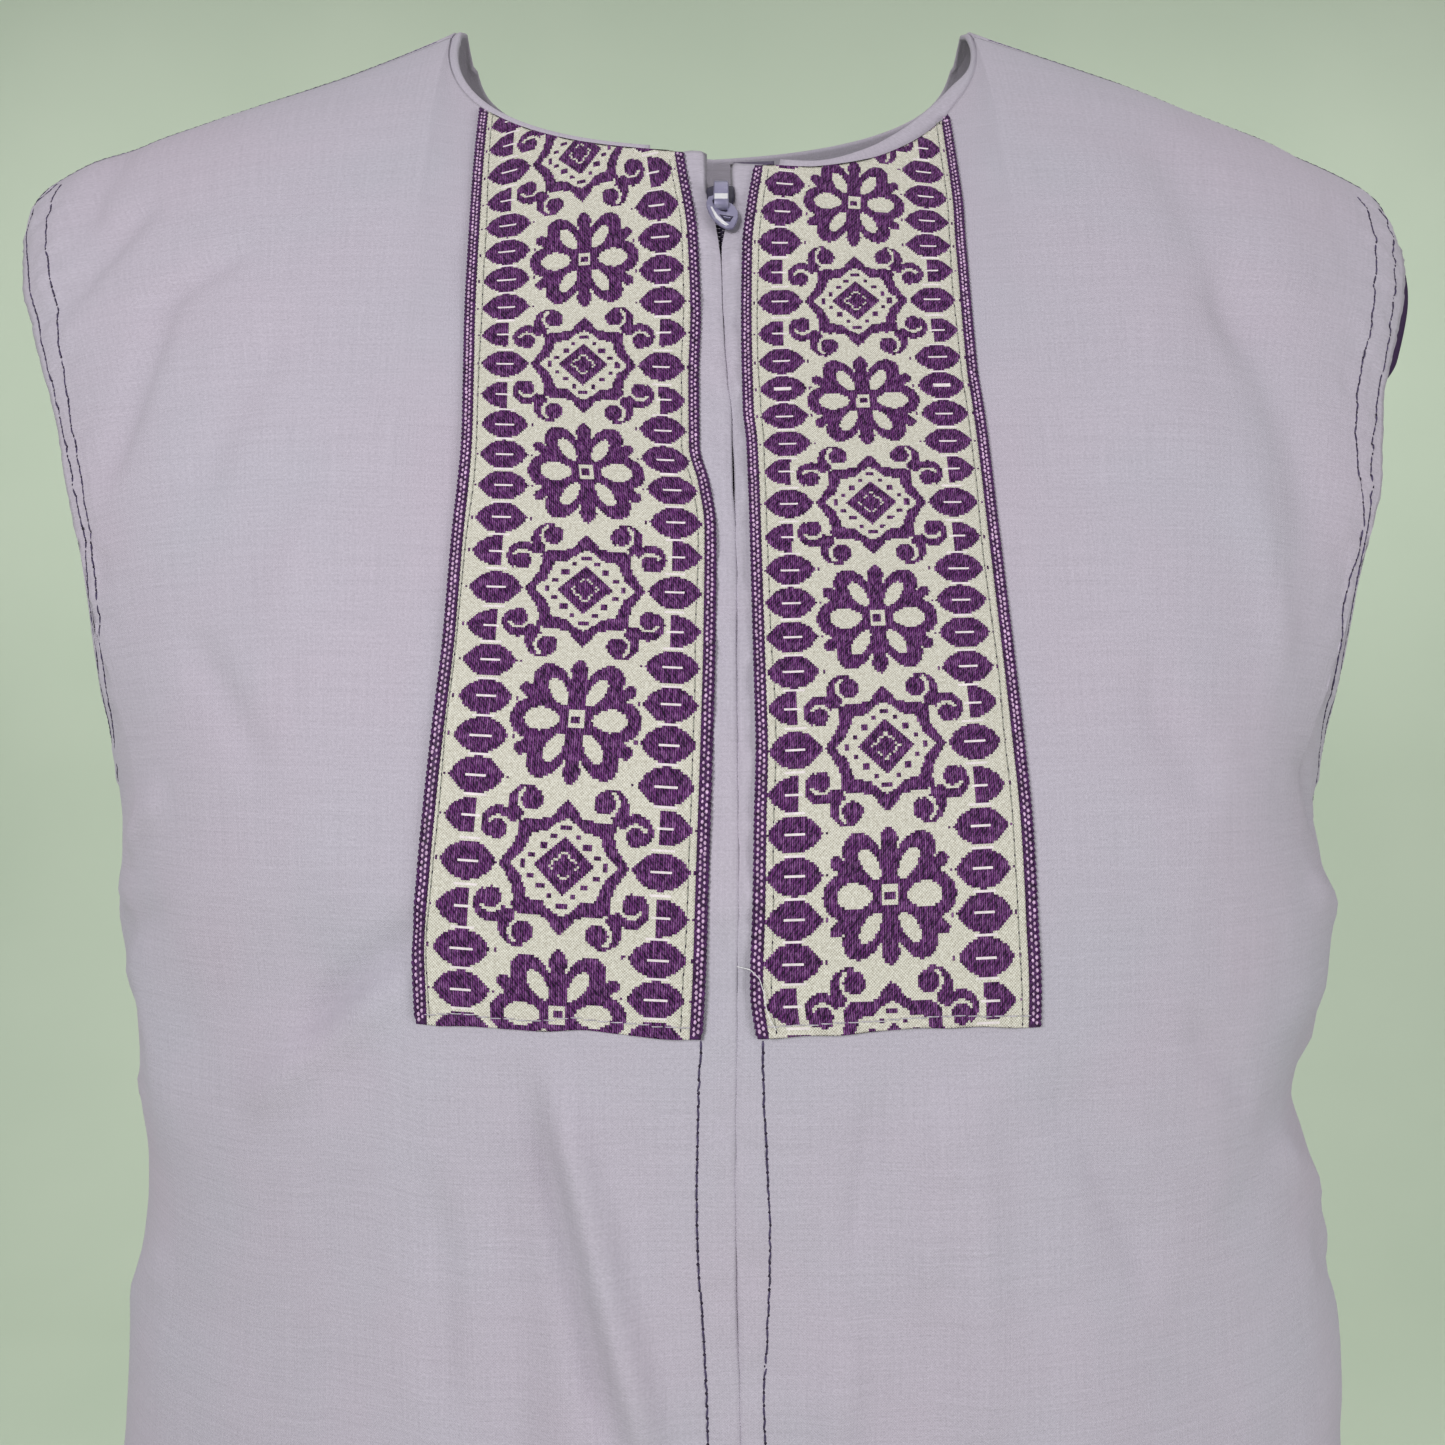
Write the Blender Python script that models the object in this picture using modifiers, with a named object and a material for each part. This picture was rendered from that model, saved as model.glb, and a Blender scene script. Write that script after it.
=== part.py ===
"""Sleeveless tunic top: a hollow worn form with a centre front zip and two woven ribbons down the chest.

Frame: +Z up, the front faces -Y and the wearer's left is +X. The origin is midway between the shoulders,
at the middle height of the shoulder line, where a wearer's shoulders carry the top. Sizes are in
millimetres until a mesh is made.

A panel is a sheet of columns. A column is named by a number: 0 is the centre line, 1 runs down from the
neck end of the shoulder, 2 is the armhole edge and the line below it, and 3 is the side seam.
"""

import math
from collections import namedtuple

import bmesh
import bpy
from mathutils import Vector
from mathutils.bvhtree import BVHTree

MM = 0.001

# Cloth and the gaps between pieces
CLOTH = 1.2
TRIM = 1.0
GAP = 0.35
SEAM = 0.3
FACING_GAP = 0.75
INSIDE = CLOTH / 2 + FACING_GAP + TRIM / 2
ARM_INSIDE = INSIDE + 0.45
RIBBON_OUT = CLOTH / 2 + 0.5 + TRIM / 2

# Neck and shoulders
NECK_HALF = 72.0
NECK_TOP = 20.0
FRONT_NECK_DROP = 51.0
BACK_NECK_DROP = 13.0
FRONT_NECK_ROUND = 2.8
BACK_NECK_ROUND = 2.6
SHOULDER_TIP = 193.5
SHOULDER_FALL_Z = -40.0
SEAM_FORWARD = 11.0

# Armhole, as heights of its most forward point and of its lowest point, and its middle
ARMHOLE_FRONT_Z = -125.0
UNDERARM_Z = -198.0
ARMHOLE_ANGLE = math.radians(58)
ARMHOLE_MIDDLE_X = 175.0
ARMHOLE_MIDDLE_Z = -112.0

# Body of the garment
BUST_Z = -212.0
CENTRE_Y = 5.0
RING_ROUND = 2.5
HEM_Z = -680.0

# Zip, closed, with its slider at the top. The pull tab turns about a pivot that lies this far
# out from the middle of the cloth
ZIP_BOTTOM_Z = -560.0
TAPE_INNER = 2.1
TAPE_OUTER = 14.0
TAPE_SETBACK = 0.5
COIL_HALF = 1.8
COIL_THICK = 1.4
COIL_RISE = 2.0
PIVOT_Z = -44.0
PIVOT_OUT = 2.6
SLIDER_WIDTH = 5.2
SLIDER_LENGTH = 7.4
SLIDER_TAPER = 0.8
SLIDER_ROUND = 0.5
BRIDGE_INNER = 0.85
BRIDGE_OUTER = 1.75
BRIDGE_WIDTH = 1.4
BRIDGE_ROOT = 0.6
TAB_LENGTH = 8.6
TAB_WIDTH = 6.8
TAB_THICK = 0.8
TAB_TOP_HALF = 2.0
TAB_BAR_HALF = 0.45
TAB_HOLE_HALF = 1.05
TAB_HOLE_TOP = 0.5
TAB_HOLE_BOTTOM = 2.2

# Ribbons
RIBBON_BOTTOM_Z = -237.0
RIBBON_TOP_SETBACK = 1.0
RIBBON_REACH_Z = -30.0

# Facings, as the width that lies inside and the width that stands past the edge
FACING_IN = 10.0
NECK_FACING_OUT = 1.6
ARM_FACING_OUT = 0.6
NECK_FACING_START = TAPE_OUTER + 2.4

Section = namedtuple("Section", "z half_width front back")
SECTIONS = [
    Section(-212, 160.5, 113.0, 100.0),
    Section(-245, 158.0, 112.0, 96.0),
    Section(-285, 154.5, 109.0, 92.0),
    Section(-345, 159.5, 105.0, 90.0),
    Section(-450, 169.0, 106.0, 95.0),
    Section(-570, 180.0, 110.0, 103.0),
    Section(-680, 191.0, 114.0, 109.0),
]

Ridge = namedtuple("Ridge", "x z")
SHOULDER_RIDGE = [
    Ridge(72, 20.0),
    Ridge(95, 12.5),
    Ridge(118, 4.5),
    Ridge(142, -4.0),
    Ridge(163, -11.0),
    Ridge(180, -18.0),
    Ridge(189, -25.0),
    Ridge(193.5, -36.0),
]

# Roundness of a column's profile from the shoulder line down to the bust line
Profile = namedtuple("Profile", "column front back spread")
PROFILES = [
    Profile(0.0, 1.3, 2.8, 1.0),
    Profile(1.0, 1.45, 2.3, 1.5),
    Profile(1.5, 1.7, 2.1, 1.5),
    Profile(2.0, 1.75, 1.9, 1.5),
    Profile(3.0, 1.75, 1.9, 1.5),
]

# How far the front's own edge and the facing's edge have slipped down at the wearer's left,
# by their share of the way from the centre to the shoulder
Dip = namedtuple("Dip", "share panel facing")
LEFT_NECK_DIPS = [
    Dip(0.0, 3.0, 2.0),
    Dip(0.2, 5.0, 3.5),
    Dip(0.38, 7.0, 5.4),
    Dip(0.53, 7.2, 4.0),
    Dip(0.67, 6.0, 1.0),
    Dip(0.8, 3.5, -2.5),
    Dip(0.88, 1.0, -4.0),
    Dip(1.0, 0.0, 0.0),
]

Lean = namedtuple("Lean", "z shift")
LEAN = [
    Lean(22, -3.0),
    Lean(-33, -2.0),
    Lean(-150, 0.0),
    Lean(-250, 2.0),
    Lean(-340, 3.0),
    Lean(-680, 3.0),
]

Slot = namedtuple("Slot", "z half")
ZIP_SLOT = [
    Slot(20, 4.0),
    Slot(-34, 3.6),
    Slot(-52, 3.2),
    Slot(-62, 0.8),
    Slot(-72, 0.25),
    Slot(-680, 0.25),
]

RibbonEdge = namedtuple("RibbonEdge", "z inner outer")
RIBBON_EDGES = {
    -1: [
        RibbonEdge(-18, 9.6, 59.7),
        RibbonEdge(-36, 7.6, 59.4),
        RibbonEdge(-58, 4.8, 58.8),
        RibbonEdge(-80, 4.2, 58.2),
        RibbonEdge(-98, 4.8, 57.4),
        RibbonEdge(-114, 4.8, 56.9),
        RibbonEdge(-123, 2.7, 57.2),
        RibbonEdge(-133, 1.4, 57.8),
        RibbonEdge(-157, 1.9, 58.8),
        RibbonEdge(-179, 2.8, 60.8),
        RibbonEdge(-205, 4.1, 63.1),
        RibbonEdge(-225, 5.1, 64.6),
        RibbonEdge(-240, 6.2, 64.2),
    ],
    1: [
        RibbonEdge(-18, 12.5, 59.7),
        RibbonEdge(-36, 10.2, 59.7),
        RibbonEdge(-48, 8.2, 59.7),
        RibbonEdge(-61, 6.6, 59.1),
        RibbonEdge(-95, 5.7, 58.4),
        RibbonEdge(-105, 5.7, 58.9),
        RibbonEdge(-113, 6.3, 59.2),
        RibbonEdge(-132, 6.5, 59.7),
        RibbonEdge(-177, 6.5, 61.5),
        RibbonEdge(-196, 5.6, 62.3),
        RibbonEdge(-212, 4.9, 62.5),
        RibbonEdge(-229, 4.1, 63.1),
        RibbonEdge(-240, 5.4, 62.8),
    ],
}

# The two sides differ: how far each is drawn in from the shared outline, by height
Pull = namedtuple("Pull", "z right left")
SIDE_PULL = [
    Pull(22, 0.0, 3.8),
    Pull(-27, -1.0, 3.9),
    Pull(-45, 0.3, 3.4),
    Pull(-62, 1.2, 2.6),
    Pull(-88, 1.8, 3.3),
    Pull(-98, 1.9, 1.8),
    Pull(-106, 1.4, 0.5),
    Pull(-120, 0.2, -1.7),
    Pull(-138, 0.0, -0.3),
    Pull(-151, -0.4, 0.6),
    Pull(-166, 0.2, 2.6),
    Pull(-180, 2.0, 5.4),
    Pull(-195, 2.3, 6.8),
    Pull(-209, 1.0, 4.3),
    Pull(-223, -1.8, 0.9),
    Pull(-238, -2.4, 0.8),
    Pull(-252, -2.8, 5.6),
    Pull(-266, -2.2, 8.2),
    Pull(-281, -0.2, 3.0),
    Pull(-296, -0.2, -0.4),
    Pull(-310, -1.5, -3.0),
    Pull(-325, -2.7, -2.9),
    Pull(-340, -2.0, -2.5),
    Pull(-355, -1.6, -1.0),
    Pull(-375, -1.4, 0.0),
    Pull(-430, 0.0, 0.0),
]
PULL_FROM_X = 100.0
PULL_REACH = 55.0

# How much lower than the shared ridge each shoulder lies, by distance from the centre
Drop = namedtuple("Drop", "x right left")
SHOULDER_DROP = [
    Drop(72, 0.0, 0.0),
    Drop(87, 2.0, 0.4),
    Drop(104, 3.4, 1.5),
    Drop(139, 3.6, 2.1),
    Drop(156, 3.6, 2.7),
    Drop(166, 3.2, 4.2),
    Drop(181, 2.5, 4.6),
    Drop(193, 1.2, 4.2),
]
DROP_FROM_Z = -140.0
DROP_REACH = 100.0

# Folds are straight lines in the flat of the garment: around is millimetres from the centre front,
# minus on the wearer's right, through the side seam at 222 to the centre back at 444
Fold = namedtuple("Fold", "around_top z_top around_bottom z_bottom width height open_below")
FOLDS = [
    Fold(-196, -236, -252, -210, 15, 6.0, False),
    Fold(-146, -242, -204, -268, 16, -3.5, False),
    Fold(192, -232, 252, -216, 14, 6.0, False),
    Fold(-70, -222, -150, -250, 16, -2.5, False),
    Fold(-36, -250, -22, -520, 20, 3.0, False),
    Fold(66, -250, 84, -500, 22, 2.5, False),
    Fold(-130, -12, -141, -62, 10, -2.5, False),
    Fold(126, -14, 112, -80, 11, 2.0, False),
    Fold(-140, -320, -150, -680, 24, 6.0, True),
    Fold(-88, -380, -84, -680, 20, -5.0, True),
    Fold(-36, -440, -30, -680, 18, 3.5, True),
    Fold(40, -420, 42, -680, 20, -4.5, True),
    Fold(96, -340, 104, -680, 24, 6.0, True),
    Fold(156, -400, 164, -680, 20, -4.5, True),
    Fold(225, -360, 228, -680, 24, 5.0, True),
    Fold(290, -380, 296, -680, 22, -5.0, True),
    Fold(352, -330, 350, -680, 26, 7.0, True),
    Fold(418, -400, 414, -680, 20, -4.5, True),
    Fold(-398, -350, -396, -680, 26, 6.0, True),
    Fold(-330, -400, -336, -680, 22, -5.0, True),
    Fold(-262, -350, -268, -680, 24, 6.0, True),
    Fold(-206, -420, -208, -680, 20, -4.0, True),
    Fold(342, -70, 380, -190, 26, 3.0, False),
    Fold(-342, -80, -384, -200, 26, 3.0, False),
]
AROUND_NECK_END = 72.0
AROUND_ARMHOLE = 144.0
AROUND_SEAM = 222.0
HALF_ROUND = 2 * AROUND_SEAM

# Sheet resolution. Rows and columns crowd by a power where the form turns most
NECK_COLUMNS = 6
SHOULDER_COLUMNS = 6
SHOULDER_CROWD = 1.3
SIDE_COLUMNS = 7
ROWS_TO_ARMHOLE = 8
ROWS_TO_BUST = 4
ROWS_TO_HEM = 20
HEM_CROWD = 1.35
ROWS_OVER_RIDGE = 2
RIBBON_COLUMNS = 8
RIBBON_ROWS = 22
TAPE_COLUMNS = 3
ZIP_ROWS = 24
ZIP_CROWD = 1.2
ARMHOLE_UPPER_STEPS = 10
ARMHOLE_LOWER_STEPS = 8
NECK_STEPS = 12
BRIDGE_STEPS = 10
TAB_STEPS = 14
WELD = 0.00001

COLOURS = {
    "cloth": (0.47, 0.44, 0.56, 1.0),
    "ribbon": (0.62, 0.58, 0.55, 1.0),
    "facing": (0.44, 0.41, 0.54, 1.0),
    "dark_facing": (0.10, 0.06, 0.16, 1.0),
    "tape": (0.40, 0.36, 0.50, 1.0),
    "coil": (0.36, 0.32, 0.46, 1.0),
    "metal": (0.45, 0.42, 0.52, 1.0),
}


def clear_scene():
    for obj in list(bpy.data.objects):
        bpy.data.objects.remove(obj, do_unlink=True)


def material(name, roughness=0.9, metallic=0.0):
    made = bpy.data.materials.new(name)
    made.use_nodes = True
    shader = made.node_tree.nodes["Principled BSDF"]
    shader.inputs["Base Color"].default_value = COLOURS[name]
    shader.inputs["Roughness"].default_value = roughness
    shader.inputs["Metallic"].default_value = metallic
    return made


# Tables
def smooth(table, column, at):
    """A table's column at a value of its first column, as a cubic with no overshoot."""
    rows = sorted(table, key=lambda row: row[0])
    xs = [row[0] for row in rows]
    ys = [getattr(row, column) for row in rows]
    if at <= xs[0]:
        return ys[0]
    if at >= xs[-1]:
        return ys[-1]
    steps = [xs[i + 1] - xs[i] for i in range(len(xs) - 1)]
    rises = [(ys[i + 1] - ys[i]) / steps[i] for i in range(len(steps))]
    slopes = [rises[0]]
    for before, after in zip(rises, rises[1:]):
        slopes.append(0.0 if before * after <= 0 else 2 * before * after / (before + after))
    slopes.append(rises[-1])
    i = max(k for k in range(len(steps)) if xs[k] <= at)
    t = (at - xs[i]) / steps[i]
    return (
        ys[i] * (1 + 2 * t) * (1 - t) ** 2
        + slopes[i] * steps[i] * t * (1 - t) ** 2
        + ys[i + 1] * t * t * (3 - 2 * t)
        + slopes[i + 1] * steps[i] * t * t * (t - 1)
    )


def ease(t):
    t = min(max(t, 0.0), 1.0)
    return t * t * (3 - 2 * t)


# Form of the garment
def bulge(share, roundness):
    """The other share of a rounded corner: 1 where share is 0, and 0 where it is 1."""
    return max(0.0, 1 - min(abs(share), 1.0) ** roundness) ** (1 / roundness)


def ring_x(column, z):
    half = smooth(SECTIONS, "half_width", z)
    at_armhole = half * math.sin(ARMHOLE_ANGLE)
    if column <= 1:
        return NECK_HALF * column
    if column <= 2:
        return NECK_HALF + (at_armhole - NECK_HALF) * (column - 1)
    return half * math.sin(ARMHOLE_ANGLE + (math.pi / 2 - ARMHOLE_ANGLE) * (column - 2))


def ring_y(x, z, face):
    depth = smooth(SECTIONS, "front" if face < 0 else "back", z)
    return CENTRE_Y + face * depth * bulge(x / smooth(SECTIONS, "half_width", z), RING_ROUND)


def ridge_of(column):
    if column <= 1:
        return NECK_HALF * column, NECK_TOP
    x = NECK_HALF + (SHOULDER_TIP - NECK_HALF) * min(column - 1, 1.0)
    return x, smooth(SHOULDER_RIDGE, "z", x)


def around_of(column, face):
    if column <= 1:
        around = AROUND_NECK_END * column
    elif column <= 2:
        around = AROUND_NECK_END + (AROUND_ARMHOLE - AROUND_NECK_END) * (column - 1)
    else:
        around = AROUND_ARMHOLE + (AROUND_SEAM - AROUND_ARMHOLE) * (column - 2)
    return around if face < 0 else HALF_ROUND - around


def fold_height(around, z):
    total = 0.0
    for fold in FOLDS:
        length = Vector((fold.around_bottom - fold.around_top, fold.z_bottom - fold.z_top))
        for turn in (-2 * HALF_ROUND, 0.0, 2 * HALF_ROUND):
            away = Vector((around + turn - fold.around_top, z - fold.z_top))
            along = away.dot(length) / length.length_squared
            across = abs(away.x * length.y - away.y * length.x) / length.length
            if across > 3 * fold.width or not -0.2 < along < 1.2:
                continue
            fade = ease(along / 0.9) if fold.open_below else ease(along / 0.3) * ease((1 - along) / 0.3)
            total += fold.height * fade * math.exp(-((across / fold.width) ** 2))
    return total


def own_side(x, z, side):
    """How far one side is drawn in and let down from the shared form at this distance and height."""
    name = "right" if side < 0 else "left"
    pull = smooth(SIDE_PULL, name, z) * ease((x - PULL_FROM_X) / PULL_REACH)
    drop = smooth(SHOULDER_DROP, name, x) * ease((z - DROP_FROM_Z) / DROP_REACH)
    return pull, drop


def sheet_point(column, z, face, side, x=None):
    """A point of the cloth's middle layer. x, where given, replaces the column's own x below the neck."""
    half = smooth(SECTIONS, "half_width", z)
    if z <= BUST_Z:
        if x is None:
            x = ring_x(column, z)
        y = ring_y(x, z, face)
    else:
        base_x = ring_x(column, BUST_Z)
        top_x, top_z = ridge_of(column)
        height = min(max((z - BUST_Z) / (top_z - BUST_Z), 0.0), 1.0)
        if x is None:
            x = base_x + (top_x - base_x) * height ** smooth(PROFILES, "spread", column)
        else:
            base_x = x
        roundness = smooth(PROFILES, "front" if face < 0 else "back", column)
        y = ring_y(base_x, BUST_Z, face) * bulge(height, roundness)
    out = Vector((x / half**2, (y - CENTRE_Y) / smooth(SECTIONS, "front", z) ** 2, 0)).normalized()
    raised = fold_height(side * around_of(column, face), z)
    lean = smooth(LEAN, "shift", z)
    pull, drop = own_side(x, z, side)
    return Vector((side * (x - pull + out.x * raised) + lean, y + out.y * raised, z - drop))


def front_point(x, z, side):
    """A point of the front between the centre and the neck end of the shoulder, by its distance x."""
    return sheet_point(x / NECK_HALF, z, -1, side, x)


def front_normal(x, z, side):
    step = 0.5
    across = front_point(x + step, z, side) - front_point(x - step, z, side)
    up = front_point(x, z + step, side) - front_point(x, z - step, side)
    return side * across.cross(up).normalized()


def laid_point(x, z, side, out):
    return front_point(x, z, side) + front_normal(x, z, side) * out


def neck_curve(turn, face):
    """The neckline at a turn from 0, the centre, to 90 degrees, the neck end of the shoulder."""
    drop, roundness = (FRONT_NECK_DROP, FRONT_NECK_ROUND) if face < 0 else (BACK_NECK_DROP, BACK_NECK_ROUND)
    x = NECK_HALF * math.sin(turn) ** (2 / roundness)
    z = NECK_TOP - drop * max(math.cos(turn), 0.0) ** (2 / roundness)
    return x, z


def neck_dip(x, side, piece):
    return smooth(LEFT_NECK_DIPS, piece, x / NECK_HALF) if side > 0 else 0.0


# Sheets
def height_at(turn, column, face):
    _, top_z = ridge_of(column)
    roundness = smooth(PROFILES, "front" if face < 0 else "back", column)
    return BUST_Z + (top_z - BUST_Z) * max(math.cos(turn), 0.0) ** (2 / roundness)


def turn_at(z, column, face):
    _, top_z = ridge_of(column)
    roundness = smooth(PROFILES, "front" if face < 0 else "back", column)
    return math.acos(min(max((z - BUST_Z) / (top_z - BUST_Z), 0.0), 1.0) ** (roundness / 2))


def seam_turn(column, forward):
    """The turn of the shoulder seam, which lies this far in front of the ridge."""
    depth = abs(ring_y(ring_x(column, BUST_Z), BUST_Z, -1))
    return math.asin((forward / depth) ** (smooth(PROFILES, "front", column) / 2))


def hem_rows():
    return [BUST_Z + (HEM_Z - BUST_Z) * (k / ROWS_TO_HEM) ** HEM_CROWD for k in range(1, ROWS_TO_HEM + 1)]


def row_heights(top_turn, column, face):
    low_turn = turn_at(ARMHOLE_FRONT_Z, column, face)
    turns = [top_turn + (low_turn - top_turn) * k / ROWS_TO_ARMHOLE for k in range(ROWS_TO_ARMHOLE + 1)]
    rows = [height_at(turn, column, face) for turn in turns]
    rows += [
        ARMHOLE_FRONT_Z + (BUST_Z - ARMHOLE_FRONT_Z) * k / ROWS_TO_BUST
        for k in range(1, ROWS_TO_BUST + 1)
    ]
    return rows + hem_rows()


def neck_column(share, face, side):
    """A column between the centre and the neck end of the shoulder, leaning out to meet the neckline."""
    last_turn = math.pi / 2
    if face < 0:
        last_z = height_at(seam_turn(1.0, SEAM_FORWARD + SEAM), 1.0, -1)
        last_turn = math.acos(((NECK_TOP - last_z) / FRONT_NECK_DROP) ** (FRONT_NECK_ROUND / 2))
    neck_x, neck_z = neck_curve(last_turn * share, face)
    slot = 0.0
    if face < 0:
        slot = smooth(ZIP_SLOT, "half", neck_z)
        neck_x = max(neck_x, slot)
        neck_z -= neck_dip(neck_x, side, "panel")
    lean = neck_x - slot - (NECK_HALF - slot) * share
    column = []
    for z in row_heights(turn_at(neck_z, share, face), share, face):
        centre = smooth(ZIP_SLOT, "half", z) if face < 0 else 0.0
        lean_in = min(max((z - BUST_Z) / (neck_z - BUST_Z), 0.0), 1.0) ** 2
        x = centre + (NECK_HALF - centre) * share + lean * lean_in
        column.append(sheet_point(x / NECK_HALF, z, face, side, x))
    return column


def shoulder_share(k):
    """The columns of the shoulder crowd towards its tip, where it turns down."""
    return 1 - (1 - k / SHOULDER_COLUMNS) ** SHOULDER_CROWD


def shoulder_column(k, face, side):
    column = 1 + shoulder_share(k)
    top_turn = seam_turn(column, SEAM_FORWARD + SEAM) if face < 0 else 0.0
    return [sheet_point(column, z, face, side) for z in row_heights(top_turn, column, face)]


def side_column(turn, face, side):
    """A column below the armhole, which starts on the quarter of an ellipse under the arm."""
    column = 3 - math.cos(turn)
    top = ARMHOLE_FRONT_Z + (UNDERARM_Z - ARMHOLE_FRONT_Z) * math.sin(turn)
    rows = [top + (BUST_Z - top) * k / ROWS_TO_BUST for k in range(ROWS_TO_BUST + 1)] + hem_rows()
    points = [sheet_point(column, z, face, side) for z in rows]
    if turn == math.pi / 2:
        points = [point + Vector((0, face * SEAM * 0.6, 0)) for point in points]
    return points


def half_panel(face, side):
    """The columns of one side of a face, as the upper patch and the patch below the armhole."""
    upper = [neck_column(k / NECK_COLUMNS, face, side) for k in range(NECK_COLUMNS)]
    upper += [shoulder_column(k, face, side) for k in range(SHOULDER_COLUMNS + 1)]
    turns = [math.pi / 2 * k / SIDE_COLUMNS for k in range(SIDE_COLUMNS + 1)]
    return [upper, [side_column(turn, face, side) for turn in turns]]


def over_ridge(side):
    """The strip of the back that comes over the ridge of the shoulder to the seam."""
    strip = []
    for k in range(SHOULDER_COLUMNS + 1):
        column = 1 + shoulder_share(k)
        first = seam_turn(column, SEAM_FORWARD - SEAM)
        turns = [first * (1 - j / ROWS_OVER_RIDGE) for j in range(ROWS_OVER_RIDGE + 1)]
        strip.append([sheet_point(column, height_at(turn, column, -1), -1, side) for turn in turns])
    return strip


# Meshes
def sheet_mesh(name, patches):
    """One open mesh from patches of columns, joined where their points meet, facing outwards."""
    work = bmesh.new()
    for patch in patches:
        grid = [[work.verts.new(point * MM) for point in column] for column in patch]
        for left, right in zip(grid, grid[1:]):
            for k in range(len(left) - 1):
                work.faces.new((left[k], left[k + 1], right[k + 1], right[k]))
    bmesh.ops.remove_doubles(work, verts=work.verts, dist=WELD)
    bmesh.ops.recalc_face_normals(work, faces=work.faces)
    mesh = bpy.data.meshes.new(name)
    work.to_mesh(mesh)
    work.free()
    return mesh


def add_object(name, mesh, finish, collection):
    obj = bpy.data.objects.new(name, mesh)
    mesh.materials.append(finish)
    collection.objects.link(obj)
    return obj


def add_sheet(name, patches, thickness, finish, collection):
    obj = add_object(name, sheet_mesh(name, patches), finish, collection)
    wall = obj.modifiers.new("wall", "SOLIDIFY")
    wall.thickness = thickness * MM
    wall.offset = 0.0
    wall.use_even_offset = True
    obj.data.shade_smooth()
    return obj


def tree_of(patches):
    """The cloth's own facets, to lay other pieces on, with the normals turned away from the body."""
    points, faces = [], []
    for patch in patches:
        for left, right in zip(patch, patch[1:]):
            for k in range(len(left) - 1):
                start = len(points)
                points += [left[k], left[k + 1], right[k + 1], right[k]]
                faces.append((start, start + 1, start + 2, start + 3))
    return BVHTree.FromPolygons(points, faces)


def on_cloth(tree, target, out):
    """The cloth's point nearest the target, moved out from the body, or in where out is minus."""
    point, normal, _, _ = tree.find_nearest(target)
    away = Vector((point.x, point.y - CENTRE_Y, max(point.z - SHOULDER_FALL_Z, 0.0)))
    return point + normal * (out if normal.dot(away) > 0 else -out)


# Cloth pieces
def add_panels(collection):
    cloth = material("cloth")
    halves = {}
    for side, name in ((-1, "front_right"), (1, "front_left")):
        halves[side] = half_panel(-1, side)
        add_sheet(name, halves[side], CLOTH, cloth, collection)
    back = []
    for side in (-1, 1):
        upper, lower = half_panel(1, side)
        back += [upper, lower, over_ridge(side)]
        halves[side] = halves[side] + [upper, lower, back[-1]]
    add_sheet("back", back, CLOTH, cloth, collection)
    return {side: tree_of(patches) for side, patches in halves.items()}


def ribbon_x(side, share, z):
    inner = smooth(RIBBON_EDGES[side], "inner", z)
    return inner + (smooth(RIBBON_EDGES[side], "outer", z) - inner) * share


def add_ribbon(name, side, tree, finish, collection):
    columns = []
    for i in range(RIBBON_COLUMNS + 1):
        share = i / RIBBON_COLUMNS
        x = ribbon_x(side, share, RIBBON_REACH_Z)
        turn = math.asin((x / NECK_HALF) ** (FRONT_NECK_ROUND / 2))
        top = neck_curve(turn, -1)[1] - neck_dip(x, side, "panel") - RIBBON_TOP_SETBACK
        rows = [top + (RIBBON_BOTTOM_Z - top) * k / RIBBON_ROWS for k in range(RIBBON_ROWS + 1)]
        line = [front_point(ribbon_x(side, share, z), z, side) for z in rows]
        columns.append([on_cloth(tree, point, RIBBON_OUT) for point in line])
    add_sheet(name, [columns], TRIM, finish, collection)


def strip_along(tree, edge, hole_centre, reach, inside):
    """Columns of points inside the cloth's edge, from past the edge to this reach below it."""
    columns = []
    for k, point in enumerate(edge):
        before = edge[max(k - 1, 0)]
        after = edge[min(k + 1, len(edge) - 1)]
        if (edge[0] - edge[-1]).length < 0.01:
            before = edge[(k - 1) % (len(edge) - 1)]
            after = edge[(k + 1) % (len(edge) - 1)]
        normal = (on_cloth(tree, point, 1.0) - on_cloth(tree, point, -1.0)).normalized()
        down = normal.cross(after - before).normalized()
        if down.dot(point - hole_centre) < 0:
            down = -down
        column = [on_cloth(tree, point, -inside) - down * reach[0]]
        column += [on_cloth(tree, point + down * step, -inside) for step in reach[1:]]
        columns.append(column)
    return columns


def armhole_edge(side):
    edge = []
    for face in (-1, 1):
        last = turn_at(ARMHOLE_FRONT_Z, 2.0, face)
        turns = [last * k / ARMHOLE_UPPER_STEPS for k in range(ARMHOLE_UPPER_STEPS + 1)]
        run = [sheet_point(2.0, height_at(turn, 2.0, face), face, side) for turn in turns]
        for k in range(1, ARMHOLE_LOWER_STEPS + 1):
            turn = math.pi / 2 * k / ARMHOLE_LOWER_STEPS
            z = ARMHOLE_FRONT_Z + (UNDERARM_Z - ARMHOLE_FRONT_Z) * math.sin(turn)
            run.append(sheet_point(3 - math.cos(turn), z, face, side))
        edge += run if face < 0 else run[-2::-1]
    return edge


def neck_edge(side):
    """One side of the neckline as the facing follows it, from the zip round to the centre back."""
    points = []
    first = math.asin((NECK_FACING_START / NECK_HALF) ** (FRONT_NECK_ROUND / 2))
    for k in range(NECK_STEPS + 1):
        x, z = neck_curve(first + (math.pi / 2 - first) * k / NECK_STEPS, -1)
        z -= neck_dip(x, side, "facing")
        points.append(front_point(min(x, NECK_HALF), z, side))
    for k in range(NECK_STEPS - 1, -1, -1):
        x, z = neck_curve(math.pi / 2 * k / NECK_STEPS, 1)
        points.append(sheet_point(x / NECK_HALF, z, 1, side, x))
    return points


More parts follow.
